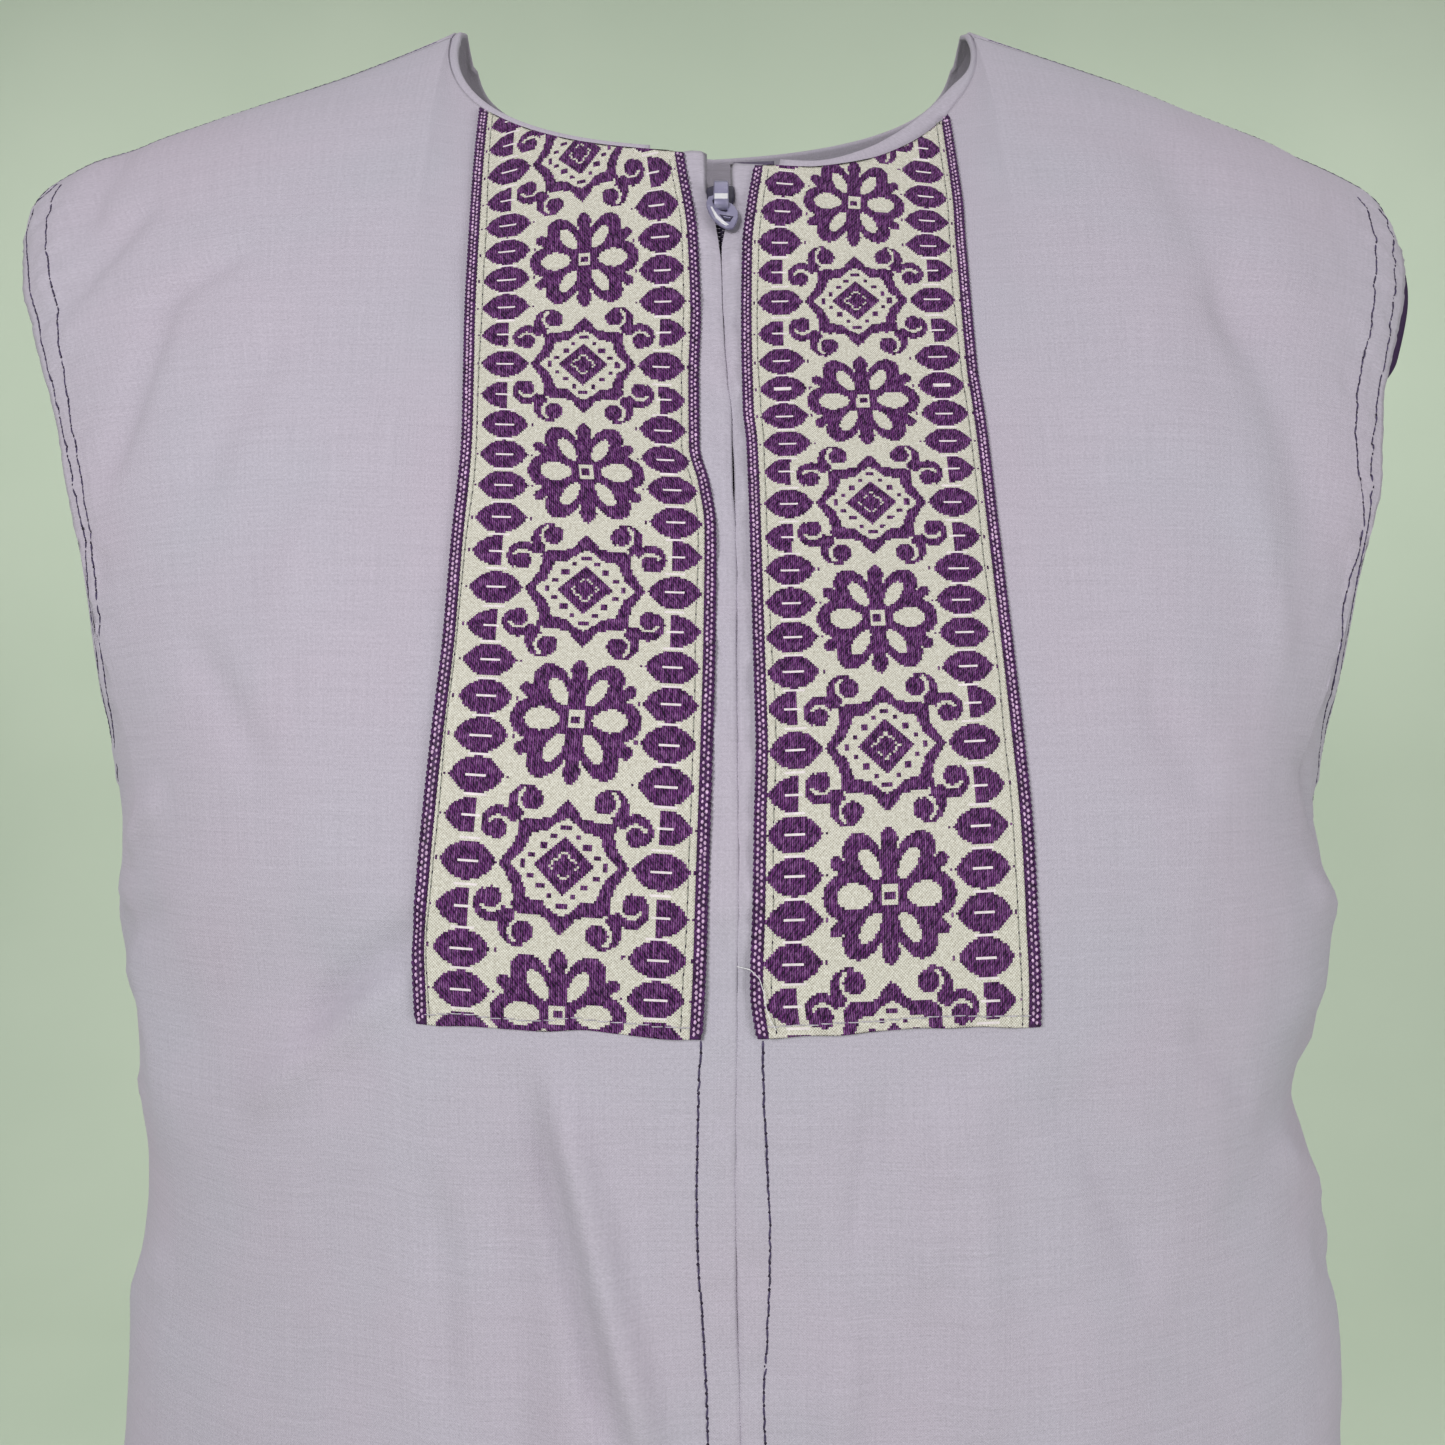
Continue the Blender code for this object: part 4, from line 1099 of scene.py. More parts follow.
LILAC = (0.488, 0.446, 0.522)
COLOURS = {
    "cloth": lambda: cloth_material("lilac_cloth", LILAC),
    "facing": lambda: cloth_material("facing_cloth", tuple(0.97 * c for c in LILAC)),
    "dark": lambda: cloth_material("dark_facing_cloth", (0.045, 0.014, 0.075)),
    "tape": lambda: cloth_material("tape_cloth", (0.09, 0.06, 0.13), 0.6, 1.6),
    "cream": cream_material,
    "float": float_material,
    "bar": lambda: thread_material("pale_bars", (0.78, 0.70, 0.72), 0.12),
    "border": lambda: thread_material("border_purple", (0.055, 0.012, 0.075), 0.6),
    "bead": lambda: thread_material("border_pale", (0.60, 0.40, 0.60), 0.4),
    "dark_thread": lambda: thread_material("dark_thread", (0.060, 0.044, 0.100), 0.5),
    # painted shade: near-black dots put where the thread goes down into the cloth
    "hole": lambda: thread_material("needle_holes", (0.022, 0.012, 0.035)),
    "ribbon_thread": lambda: thread_material("ribbon_thread", (0.30, 0.30, 0.26)),
    "loose_thread": lambda: thread_material("loose_thread", (0.82, 0.80, 0.82), 0.1),
    "pale_thread": lambda: thread_material("pale_thread", (0.50, 0.46, 0.52)),
    "coil": lambda: thread_material("coil_plastic", (0.022, 0.014, 0.036), 0.3),
    "paint": lambda: metal_material("slider_lacquer", (0.25, 0.23, 0.36), 0.3, 0.4, (0.40, 0.38, 0.50)),
    # painted shade: the lilac slider's crown and the rim round the tab's eye, painted near black where
    # they lie in shadow
    "shade_lacquer": lambda: metal_material(
        "crown_shade_lacquer", (0.022, 0.016, 0.045), 0.2, 0.42, (0.07, 0.055, 0.11)
    ),
    # painted highlights: small pale metal plates that stand for glints on the slider's strap and along
    # the tab's edge
    "glint": lambda: metal_material("glint_metal", (0.80, 0.78, 0.82), 0.5, 0.35, (0.95, 0.93, 0.95)),
}


# Room
def add_room():
    scene = bpy.context.scene
    scene.view_settings.view_transform = "Standard"
    camera = bpy.data.cameras.new("camera")
    camera.sensor_width = SENSOR
    camera.sensor_fit = "HORIZONTAL"
    camera.lens = PHOTO_FOCAL / PHOTO_SIZE * SENSOR
    camera.clip_start = 0.01
    shown = bpy.data.objects.new("camera", camera)
    shown.location = CAMERA_AT
    shown.rotation_euler = (math.pi / 2, 0, 0)
    scene.collection.objects.link(shown)
    scene.camera = shown
    world = bpy.data.worlds.new("room_light")
    world.use_nodes = True
    world.node_tree.nodes["Background"].inputs["Color"].default_value = (0.93, 0.96, 0.92, 1)
    world.node_tree.nodes["Background"].inputs["Strength"].default_value = 0.28
    scene.world = world
    Lamp = namedtuple("Lamp", "name at aim size power")
    lamps = [
        Lamp("key", (-0.50, -0.98, 0.06), (0, 0, -0.14), 0.35, 7.4),
        Lamp("fill", (0.86, -0.74, -0.22), (0.08, 0, -0.18), 0.6, 4.6),
        Lamp("top", (0.2, 0.4, 1.5), (0, 0, -0.1), 0.9, 2.6),
        Lamp("neck", (0.0, -0.25, 1.3), (0, 0, 0), 0.7, 1.2),
        Lamp("wall_left", (-1.0, 0.6, 0.4), (-0.6, 1.7, -0.3), 1.4, 10.0),
        Lamp("wall_right", (1.0, 0.6, 0.4), (0.6, 1.7, -0.3), 1.4, 10.0),
    ]
    for lamp in lamps:
        light = bpy.data.lights.new(lamp.name, "AREA")
        light.size = lamp.size
        light.energy = lamp.power
        holder = bpy.data.objects.new(lamp.name, light)
        holder.location = lamp.at
        aim = Vector(lamp.aim) - Vector(lamp.at)
        holder.rotation_euler = aim.to_track_quat("-Z", "Y").to_euler()
        scene.collection.objects.link(holder)
    add_backdrop()


def add_backdrop():
    """A pale floor that curves up into a pale wall."""
    radius = 0.6
    profile = [(-3.0, FLOOR_Z), (WALL_Y - radius, FLOOR_Z)]
    for k in range(1, 13):
        angle = math.pi / 2 * k / 12
        back, up = radius * math.sin(angle), radius * (1 - math.cos(angle))
        profile.append((WALL_Y - radius + back, FLOOR_Z + up))
    profile.append((WALL_Y, 3.0))
    points = [(x / MM, y / MM, z / MM) for x in (-4.0, 4.0) for y, z in profile]
    count = len(profile)
    faces = [[k, k + 1, k + 1 + count, k + count] for k in range(count - 1)]
    made, tree, shader = principled("studio_paper", Roughness=0.95, Specular_IOR_Level=0.1)
    place = node(tree, "TexCoord").outputs["Object"]
    share = spread(tree, noise(tree, place, 3.0), 0.0, 1.0)
    paint(tree, shader, mix_colour(tree, share, (0.50, 0.575, 0.465, 1), (0.53, 0.60, 0.49, 1)))
    backdrop = make_object("backdrop", points, faces, materials=[made])


# Cloth pieces
def armhole_lift(points, side):
    """How the turned armhole edge swells and puckers, as a lift of the sheet and as extra thickness."""
    near, along = edge_places(points, armhole_edge(side))
    outer = smooth(ARMHOLE_ROWS[side], "outer", points[:, 2])
    inner = smooth(ARMHOLE_ROWS[side], "inner", points[:, 2])
    turned = ease((inner + 1.4 - near) / 1.6)
    share = (near - outer) / np.maximum(inner - outer, 1.0)
    between = np.exp(-(((share - 0.5) / 0.36) ** 2))
    beyond = np.exp(-(((near - inner - 2.6) / 3.4) ** 2))
    lift = 0.7 * between * wobble(along, 1.3 + side, 9.0) + 0.6 * beyond * wobble(along, 4.1 + side, 11.0)
    lift -= 0.26 * np.exp(-(((near - inner) / 0.8) ** 2)) + 0.16 * np.exp(-(((near - outer) / 0.7) ** 2))
    lift += 0.3 * np.exp(-((near / 1.2) ** 2)) * wobble(along, 2.2, 6.0)
    return lift, turned * TURNED_EXTRA


def soft_waves(points):
    """The slack that hung cloth always has, too slight to be called a crease."""
    x, y, z = points.T
    around = x + 0.6 * y
    waves = 0.50 * wobble(around + 0.25 * z, 0.7, 83.0) * wobble(z - 0.3 * around, 2.9, 61.0)
    waves += 0.22 * wobble(around - 0.5 * z, 5.1, 27.0) * wobble(z + 0.4 * around, 1.4, 34.0)
    return waves * ease((z - HEM_Z) / 30) * ease((150 - z) / 10)


def hem_lift(points):
    above = points[:, 2] - HEM_Z
    turned = ease((HEM_TURN - above) / 2.0)
    lift = -0.3 * np.exp(-(((above - HEM_STITCHES_UP) / 1.1) ** 2))
    lift += 0.35 * np.exp(-(((above - 12.0) / 8.0) ** 2)) * wobble(points[:, 0] + points[:, 1], 3.0, 13.0)
    return lift, turned * TURNED_EXTRA


def placket_lift(points, side):
    """The folded front edge and its line of topstitching, which draws the cloth in unevenly."""
    x, z = points[:, 0], points[:, 2]
    centre = smooth(LEAN, "shift", z)
    from_centre = side * (x - centre)
    from_fold = side * (x - centre - smooth(ZIP_SLOT, "shift", z))
    from_fold = from_fold - smooth(ZIP_SLOT, "half", z)
    line = smooth(PLACKET_LINES, SIDES[side], z)
    lift = -0.42 * np.exp(-(((from_centre - line) / 0.8) ** 2)) * ease((-234 - z) / 6)
    pucker = 0.34 * np.exp(-(((from_centre - line) / 3.2) ** 2)) * wobble(z, 2.0 + side, 9.0)
    lift += pucker * ease((-236 - z) / 8)
    lift -= 0.55 * np.exp(-((from_fold / 0.45) ** 2))
    lift += (0.22 if side < 0 else -0.1) * np.exp(-((from_fold / 1.6) ** 2)) * ease((-60 - z) / 20)
    lift += 0.75 * np.exp(-(((from_fold - 2.8) / 2.0) ** 2)) * wobble(z, 5.0 + side, 12.0)
    return lift, ease((line + 0.6 - from_centre) / 1.0) * TURNED_EXTRA * 0.6


def add_panel(name, node_name, patches, sides, finish):
    """A thin shell over a panel's middle layer. Gives back the tree of its outer face."""
    points, faces, weave = from_patches(patches, sides)
    normals = point_normals(points, faces)
    lift = np.zeros(len(points))
    extra = np.zeros(len(points))
    for side in (-1, 1):
        ours = points[:, 0] * side > 60
        if not ours.any():
            continue
        rise, thick = armhole_lift(points[ours], side)
        lift[ours] += rise
        extra[ours] = np.maximum(extra[ours], thick)
    rise, thick = hem_lift(points)
    lift += rise + soft_waves(points)
    extra = np.maximum(extra, thick)
    if node_name != "back":
        side = -1 if node_name == "front_right" else 1
        rise, thick = placket_lift(points, side)
        lift += rise
        extra = np.maximum(extra, thick)
    points = points + normals * lift[:, None]
    shell, closed, places = wall(points, faces, weave, CLOTH_OUT + extra * 0.5, CLOTH_IN - extra * 0.5)
    obj = make_object(name, shell, closed, places, [finish])
    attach(obj, "garment")
    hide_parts(node_name)
    return tree_of(points + point_normals(points, faces) * (CLOTH_OUT + extra * 0.5)[:, None], faces)


def add_panels(finish):
    trees = {}
    for side, name in SIDES.items():
        patches = half_panel(-1, side, FRONT_GRID)
        node_name = "front_" + name
        trees[node_name] = add_panel(
            name + "_front", node_name, patches, [side, side], finish
        )
    patches, sides = [], []
    for side in (-1, 1):
        patches += half_panel(1, side, BACK_GRID) + [over_ridge(side, BACK_GRID)]
        sides += [-side, -side, -side]
    trees["back"] = add_panel("back_panel", "back", patches, sides, finish)
    return trees


# Ribbons
def oval(x, y, cx, cy, half_long, half_wide, turn=0.0, inner=2.0, outer=2.0):
    """Inside a lens about (cx, cy) whose long axis is turned by this many degrees. inner and outer are
    how blunt its near and far ends are: 2 is round, less is pointed."""
    c, s = math.cos(math.radians(turn)), math.sin(math.radians(turn))
    along = ((x - cx) * c + (y - cy) * s) / half_long
    across = ((y - cy) * c - (x - cx) * s) / half_wide
    power = np.where(along < 0, inner, outer)
    room = np.clip(1 - np.abs(along) ** power, 0, None)
    return (np.abs(along) < 1) & (np.abs(across) < room ** 0.5)


def inside_star(x, y, corners):
    """Inside the closed outline whose corners in one quarter are these, taken as distances by angle."""
    angles = [math.atan2(cy, cx) for cx, cy in corners]
    reach = [math.hypot(cx, cy) for cx, cy in corners]
    angle = np.arctan2(np.abs(y), np.abs(x))
    return np.hypot(x, y) < np.interp(angle, angles, reach)


def arc_band(x, y, cx, cy, near, far, start, stop):
    """Inside a curved band about (cx, cy) between two radii and two angles, in degrees."""
    distance = np.hypot(x - cx, y - cy)
    angle = (np.degrees(np.arctan2(y - cy, x - cx)) - start) % 360
    return (distance > near) & (distance < far) & (angle < (stop - start) % 360)


def flower(x, y):
    """A flower of two broad and four slanting petals, with a bud above and below."""
    x, y = np.abs(x), np.abs(y)
    solid = oval(x, y, 8.2, 0.0, 5.5, 4.4, 0, 1.6, 2.4)
    solid |= oval(x, y, 4.9, 6.4, 6.0, 3.8, 57, 1.8, 2.4)
    solid |= oval(x, y, 10.7, 6.2, 1.6, 1.35, 25)
    solid |= oval(x, y, 7.0, 3.9, 5.0, 1.8, 30)
    solid |= (x < 1.55) & (y < 9.5)
    solid |= oval(x, y, 0.0, 10.6, 2.4, 1.95, 90, 1.6, 1.1)
    solid |= np.maximum(x, y) < 3.0
    holes = oval(x, y, 7.1, 0.0, 3.65, 2.4, 0, 1.3, 2.2)
    holes |= oval(x, y, 3.95, 5.8, 3.3, 1.6, 57, 1.5, 2.3)
    ring = (x < 1.6) & (y < 1.85) & ~((x < 0.98) & (y < 0.75))
    return solid & ~holes & ~ring


STAR_OUTER = [
    (13.1, 0.0),
    (11.7, 2.0),
    (10.2, 4.4),
    (9.7, 6.5),
    (9.9, 8.4),
    (8.4, 9.6),
    (5.6, 9.6),
    (3.0, 10.2),
    (0.0, 13.6),
]
STAR_INNER = [(10.8, 0.0), (8.4, 2.3), (7.3, 4.9), (6.9, 6.6), (5.3, 6.9), (3.6, 7.2), (0.0, 9.9)]
Dot = namedtuple("Dot", "x y half_x half_y")
STAR_DOTS = [
    Dot(0.0, 8.0, 1.15, 0.48),
    Dot(2.4, 6.25, 0.5, 0.48),
    Dot(4.45, 4.15, 0.75, 0.65),
    Dot(6.6, 2.1, 0.55, 0.5),
    Dot(8.4, 0.0, 0.5, 0.85),
]


def medallion(x, y):
    """A cusped star band with two curls at each corner, a ring of dots and a diamond."""
    x, y = np.abs(x), np.abs(y)
    solid = inside_star(x, y, STAR_OUTER) & ~inside_star(x, y, STAR_INNER)
    solid |= arc_band(x, y, 8.4, 12.4, 1.6, 3.9, -75, 110)
    solid |= oval(x, y, 7.5, 13.3, 2.35, 2.35)
    solid &= ~arc_band(x, y, 7.5, 13.3, 2.1, 2.85, -115, 60)
    solid |= arc_band(x, y, 13.9, 8.1, 1.6, 3.6, -60, 170)
    solid |= oval(x, y, 13.9, 7.05, 2.2, 2.2)
    solid &= ~arc_band(x, y, 13.9, 7.05, 1.95, 2.7, 30, 225)
    for dot in STAR_DOTS:
        solid |= (np.abs(x - dot.x) < dot.half_x) & (np.abs(y - dot.y) < dot.half_y)
    solid |= x / 6.1 + y / 6.0 < 1
    dashes = (np.abs(x / 2.9 + y / 2.9 - 1) < 0.12) & (np.sin((x - y) * math.pi / 0.66) > -0.35)
    return solid & ~dashes


LEAF_ROWS = [
    Dot(19.4, 0.0, 5.9, 3.95),
    Dot(19.4, 9.2, 5.9, 3.7),
    Dot(19.4, 17.35, 5.9, 3.7),
    Dot(19.4, 25.45, 5.9, 3.7),
]
HALF_LEAF_ROW = 1
HALF_LEAF_CUT = 18.7
BAR_ROWS = [4.7, 13.3, 21.4, 29.5]


def leaves(x, y):
    """The column of leaves along each edge, with the pale bars in and between them. The rows next to a
    medallion's middle are outer halves."""
    x, y = np.abs(x), np.abs(y)
    solid = np.zeros(x.shape, bool)
    bars = np.zeros(x.shape, bool)
    for row, leaf in enumerate(LEAF_ROWS):
        along = np.abs(x - leaf.x) / leaf.half_x
        body = np.abs(y - leaf.y) < leaf.half_y * np.clip(1 - along**2.5, 0, None)
        bar = (np.abs(x - leaf.x) < 2.15) & (np.abs(y - leaf.y) < 0.24)
        tip = (np.abs(np.abs(x - leaf.x) - 6.7) < 0.24) & (np.abs(y - leaf.y) < 0.36)
        shape = (body & ~bar) | tip
        if row == HALF_LEAF_ROW:
            shape &= x > HALF_LEAF_CUT
            bar &= x > HALF_LEAF_CUT - 0.8
        solid |= shape
        bars |= bar
    for middle in BAR_ROWS:
        bars |= (np.abs(x - LEAF_ROWS[0].x) < 2.3) & (np.abs(y - middle) < 0.24)
    return solid, bars & ~solid


def motif(across, along):
    """Where the purple yarns float on the ribbon's face, and where the pale bars are. along is counted
    down from a flower's middle."""
    from_flower = (along + REPEAT / 2) % REPEAT - REPEAT / 2
    from_medallion = along % REPEAT - REPEAT / 2
    solid, bars = leaves(across, from_medallion)
    return flower(across, from_flower) | medallion(across, from_medallion) | solid, bars


def ribbon_z(side, across, along):
    """The height of a place on the ribbon: across from its middle, and along its pattern."""
    inner = smooth(RIBBON_ROWS[side], "inner", along / REPEAT)
    outer = smooth(RIBBON_ROWS[side], "outer", along / REPEAT)
    return inner + (outer - inner) * (across / ROW_REACH + 1) / 2


def ribbon_x(side, across, z):
    inner = smooth(RIBBON_EDGES[side], "inner", z)
    outer = smooth(RIBBON_EDGES[side], "outer", z)
    return inner + (outer - inner) * (across / RIBBON_WIDTH + 0.5)


def ribbon_foot(side, across):
    """The lower cut edge, which is a little uneven and hangs lowest at the inner corner."""
    drop = 1.6 * ease(-across / (RIBBON_WIDTH / 2)) + 0.5 * wobble(across + 7 * side, 1.0, 34.0)
    return RIBBON_FOOT_Z - drop


def ribbon_top(side, across):
    x = ribbon_x(side, across, RIBBON_REACH_Z)
    turn = np.arcsin((np.minimum(x, NECK_HALF) / NECK_HALF) ** (FRONT_NECK_ROUND / 2))
    return neck_curve(turn, -1)[1] - neck_dip(x, side, "panel") - RIBBON_TOP_SETBACK


def ribbon_place(side, across, along, out):
    """Points on the ribbon and the way out there. across is minus towards the centre front."""
    z = ribbon_z(side, across, along)
    z = np.clip(z, ribbon_foot(side, across), ribbon_top(side, across))
    return laid_point(ribbon_x(side, across, z), z, side, out)


def add_ribbon(name, side, finishes, tables):
    """The ribbon is woven cell by cell: a purple cell is a raised float, and the rest is cream ground."""
    first = RIBBON_ROWS[side][0].count * REPEAT
    last = RIBBON_ROWS[side][-1].count * REPEAT
    columns = int(RIBBON_WIDTH / CELL)
    rows = int((last - first) / CELL)
    across = np.linspace(-RIBBON_WIDTH / 2, RIBBON_WIDTH / 2, columns + 1)
    along = np.linspace(first, last, rows + 1)
    grid_across, grid_along = np.meshgrid(across, along, indexing="ij")
    cell_across = (grid_across[:-1, :-1] + grid_across[1:, 1:]) / 2
    cell_along = (grid_along[:-1, :-1] + grid_along[1:, 1:]) / 2
    cell_z = ribbon_z(side, cell_across, cell_along)
    shifted = cell_across + smooth(PATTERN_SHIFT, SIDES[side], cell_z)
    raised, bars = motif(shifted, cell_along)
    border = np.abs(cell_across) > RIBBON_WIDTH / 2 - BORDER
    raised &= ~border
    bars &= ~border
    share = np.zeros(grid_across.shape)
    weight = np.zeros(grid_across.shape)
    for i in (0, 1):
        for j in (0, 1):
            share[i:i + columns, j:j + rows] += raised
            weight[i:i + columns, j:j + rows] += 1
    out = CREAM_OUT + FLOAT_RISE * share / weight
    points, _ = ribbon_place(side, grid_across, grid_along, out)
    index = np.arange(points.shape[0] * points.shape[1]).reshape(points.shape[:2])
    quads = grid_quads(index)
    looks = np.where(border, 2, np.where(raised, 1, np.where(bars, 3, 0))).reshape(-1)
    corners = points.reshape(-1, 3)[quads]
    size = np.linalg.norm(np.cross(corners[:, 2] - corners[:, 0], corners[:, 3] - corners[:, 1]), axis=1)
    kept = size > 0.02
    quads, looks = quads[kept], looks[kept]
    weave = np.stack([grid_across, grid_along], -1).reshape(-1, 2)
    if side < 0:
        quads = quads[:, ::-1]
    points = points.reshape(-1, 3)
    edges = open_edges([[int(v) for v in quad] for quad in quads])
    rim = sorted({v for edge in edges for v in edge})
    low, _ = ribbon_place(side, grid_across.reshape(-1)[rim], grid_along.reshape(-1)[rim], RIBBON_UNDER)
    below = {v: len(points) + k for k, v in enumerate(rim)}
    skirt = [[b, a, below[a], below[b]] for a, b in edges]
    edge_look = [2 if abs(weave[a][0]) > RIBBON_WIDTH / 2 - BORDER else 0 for a, _ in edges]
    points = np.concatenate([points, low])
    weave = np.concatenate([weave, weave[rim]])
    faces = [[int(v) for v in quad] for quad in quads] + skirt
    used = sorted({v for face in faces for v in face})
    renumber = {v: k for k, v in enumerate(used)}
    faces = [[renumber[v] for v in face] for face in faces]
    looks = np.concatenate([looks, edge_look])
    obj = make_object(name, points[used], faces, weave[used], finishes, looks)
    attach(obj, "garment")
    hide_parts(tables)


# Small things in rows
def template(rings, sides):
    """Points and faces of a closed spindle along X: rings are (place from -1 to 1, radius)."""
    points = []
    for at, radius in rings:
        for k in range(sides):
            angle = 2 * math.pi * k / sides
            points.append((at, radius * math.cos(angle), radius * math.sin(angle)))
    faces = []
    for r in range(len(rings) - 1):
        for k in range(sides):
            a, b = r * sides + k, r * sides + (k + 1) % sides
            faces.append([a, b, b + sides, a + sides])
    faces.append(list(range(sides))[::-1])
    faces.append([(len(rings) - 1) * sides + k for k in range(sides)])
    return np.array(points), faces


STITCH = template([(-1.0, 0.35), (-0.7, 0.9), (0.0, 1.0), (0.7, 0.9), (1.0, 0.35)], 5)
HOLE = template([(-1.0, 0.4), (0.0, 1.0), (1.0, 0.4)], 4)
BEAD = template([(-1.0, 0.3), (-0.6, 0.8), (0.0, 1.0), (0.6, 0.8), (1.0, 0.3)], 8)


def in_rows(shape, places, ways, outs, half_length, half_width, half_height, dip=0.0):
    """Copies of a small shape, each at a place with its own way along and way out, as one mesh."""
    base, faces = shape
    ways = unit(ways)
    outs = unit(outs - ways * np.sum(outs * ways, axis=1, keepdims=True))
    beside = np.cross(outs, ways)
    count = len(places)
    half_length, half_width, half_height = (
        np.broadcast_to(value, count)[:, None] for value in (half_length, half_width, half_height)
    )
    x = base[None, :, 0] * half_length
    y = base[None, :, 1] * half_width
    z = base[None, :, 2] * half_height - dip * base[None, :, 0] ** 2
    points = places[:, None] + x[..., None] * ways[:, None] + y[..., None] * beside[:, None]
    points = points + z[..., None] * outs[:, None]
    start = np.arange(count) * len(base)
    joined = [[int(v + s) for v in face] for s in start for face in faces]
    return points.reshape(-1, 3), joined


def joined_rows(name, runs, material, replaced=()):
    """Runs of small things as one piece."""
    points, faces, start = [], [], 0
    for run_points, run_faces in runs:
        points.append(run_points)
        faces += [[v + start for v in face] for face in run_faces]
        start += len(run_points)
    obj = make_object(name, np.concatenate(points), faces, materials=[material])
    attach(obj, "garment")
    if replaced:
        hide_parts(*replaced)


def stitches(tree, path, stitching, seed):
    """A run of stitches along a path on the cloth, each a little out of line as a machine leaves them,
    and dark dots of painted shade at the needle holes between them."""
    pitch, radius = stitching
    rng = np.random.default_rng(seed)
    spots = resample(path, pitch)
    laid = [on_cloth(tree, spot, THREAD_RISE) for spot in (spots[1:] + spots[:-1]) / 2]
    places = np.array([place for place, _ in laid])
    outs = np.array([out for _, out in laid])
    ways = spots[1:] - spots[:-1]
    beside = np.cross(outs, unit(ways))
    thread_ways = ways + beside * rng.normal(0, 0.09, (len(ways), 1)) * pitch
    half = pitch * rng.uniform(0.44, 0.52, len(ways))
    thread = in_rows(STITCH, places, thread_ways, outs, half, radius, radius * 0.85, 0.22)
    # dark dots of painted shade at the needle holes
    between = [on_cloth(tree, spot, 0.0)[0] for spot in spots[1:]]
    holes = in_rows(HOLE, np.array(between), ways, outs, 0.42, radius * 1.5, radius)
    return thread, holes


def seen_path(tree, spots):
    """The line on the cloth that the camera sees at these pixels of the photograph."""
    camera = Vector(CAMERA_AT) / MM
    half = PHOTO_SIZE / 2
    path = []
    depth = FIRST_DEPTH
    for spot in spots:
        way = Vector(((spot.px - half) / PHOTO_FOCAL, 1.0, (half - spot.py) / PHOTO_FOCAL))
        found = tree.ray_cast(camera, way.normalized())[0]
        if found is None:
            found = tree.find_nearest(camera + way * depth)[0]
        depth = found.y - camera.y
        path.append(np.array(found))
    return np.array(path)


def evened(path):
    """A path with the small kinks taken out of it."""
    padded = np.concatenate([path[:1], path[:1], path, path[-1:], path[-1:]])
    return sum(share * padded[k:k + len(path)] for k, share in enumerate((0.1, 0.2, 0.4, 0.2, 0.1)))


def way_in(tree, point, before, after, centre):
    """At a point of an edge, the way along the cloth away from the opening's centre, and the way out."""
    _, normal = on_cloth(tree, point, 0.0)
    down = np.cross(normal, after - before)
    down /= np.linalg.norm(down)
    return (-down if np.dot(down, point - centre) < 0 else down), normal


def offset_path(tree, edge, centre, distances):
    """The line inside an edge, on the cloth, at this distance from each of the edge's points."""
    path = []
    for k, point in enumerate(edge):
        before = edge[max(k - 2, 0)]
        after = edge[min(k + 2, len(edge) - 1)]
        down, _ = way_in(tree, point, before, after, centre)
        path.append(on_cloth(tree, point + down * distances[k], 0.0)[0])
    return np.array(path)


def add_sewing(trees, threads_of):
    runs = {"placket_stitches": [], "armhole_stitches": [], "hem_stitches": [], "shoulder_stitches": []}
    for side, name in SIDES.items():
        front = trees["front_" + name]
        z = np.linspace(*PLACKET_STITCHES, 300)
        line, _ = laid_point(smooth(PLACKET_LINES, name, z), z, side, CLOTH_OUT)
        runs["placket_stitches"].append(stitches(front, line, STITCHING["placket"], 3 + side))
        edge = armhole_edge(side)
        centre = np.array([side * ARMHOLE_MIDDLE_X, CENTRE_Y, ARMHOLE_MIDDLE_Z])
        half = len(edge) // 2
        for part, tree in ((edge[:half + 1], front), (edge[half:], trees["back"])):
            for row, seed in (("outer", 11), ("inner", 12)):
                distances = smooth(ARMHOLE_ROWS[side], row, part[:, 2])
                path = offset_path(tree, part, centre, distances)
                if tree is front:
                    seen = evened(resample(seen_path(tree, SEEN_ROWS[side, row]), SEEN_PITCH))
                    path = np.concatenate([seen, path[path[:, 2] < seen[-1][2] - SEEN_PITCH]])
                run = stitches(tree, evened(path), STITCHING["armhole"], seed + side)
                runs["armhole_stitches"].append(run)
        column = np.linspace(1.03, 1.97, 80)
        turn = np.array([seam_turn(c, SEAM_FORWARD - 1.2) for c in column])
        z = np.array([height_at(t, c, -1) for t, c in zip(turn, column)])
        path = sheet_point(column, z, -1, side)
        run = stitches(trees["back"], path, STITCHING["shoulder"], 31 + side)
        runs["shoulder_stitches"].append(run)
    for name, face, sides in (("front_right", -1, (-1,)), ("front_left", -1, (1,)), ("back", 1, (-1, 1))):
        for side in sides:
            z = np.full(160, HEM_Z + HEM_STITCHES_UP)
            path = sheet_point(np.linspace(0.01, 2.98, 160), z, face, side)
            run = stitches(trees[name], path, STITCHING["hem"], 21 + side + face)
            runs["hem_stitches"].append(run)
    for name, pairs in runs.items():
        joined_rows(name, [thread for thread, _ in pairs], threads_of["dark_thread"])
        # the dots of painted shade at the needle holes
        holes_name = name.replace("stitches", "needle_holes")
        joined_rows(holes_name, [holes for _, holes in pairs], threads_of["hole"])


def ribbon_rows(side, edge, inset, pitch):
    """Places along one edge of a ribbon, at a distance in from it: across, and along its pattern."""
    first, last = (RIBBON_ROWS[side][k].count * REPEAT for k in (0, -1))
    along = np.arange(first, last, pitch)
    across = np.full(len(along), edge * (RIBBON_WIDTH / 2 - inset))
    z = ribbon_z(side, across, along)
    kept = (z < ribbon_top(side, across) - 0.5) & (z > ribbon_foot(side, across) + 0.6)
    return across[kept], along[kept]


def on_ribbon(side, across, along, out):
    places, outs = ribbon_place(side, across, along, out)
    ahead, _ = ribbon_place(side, across, along + 0.5, out)
    return places, ahead - places, outs


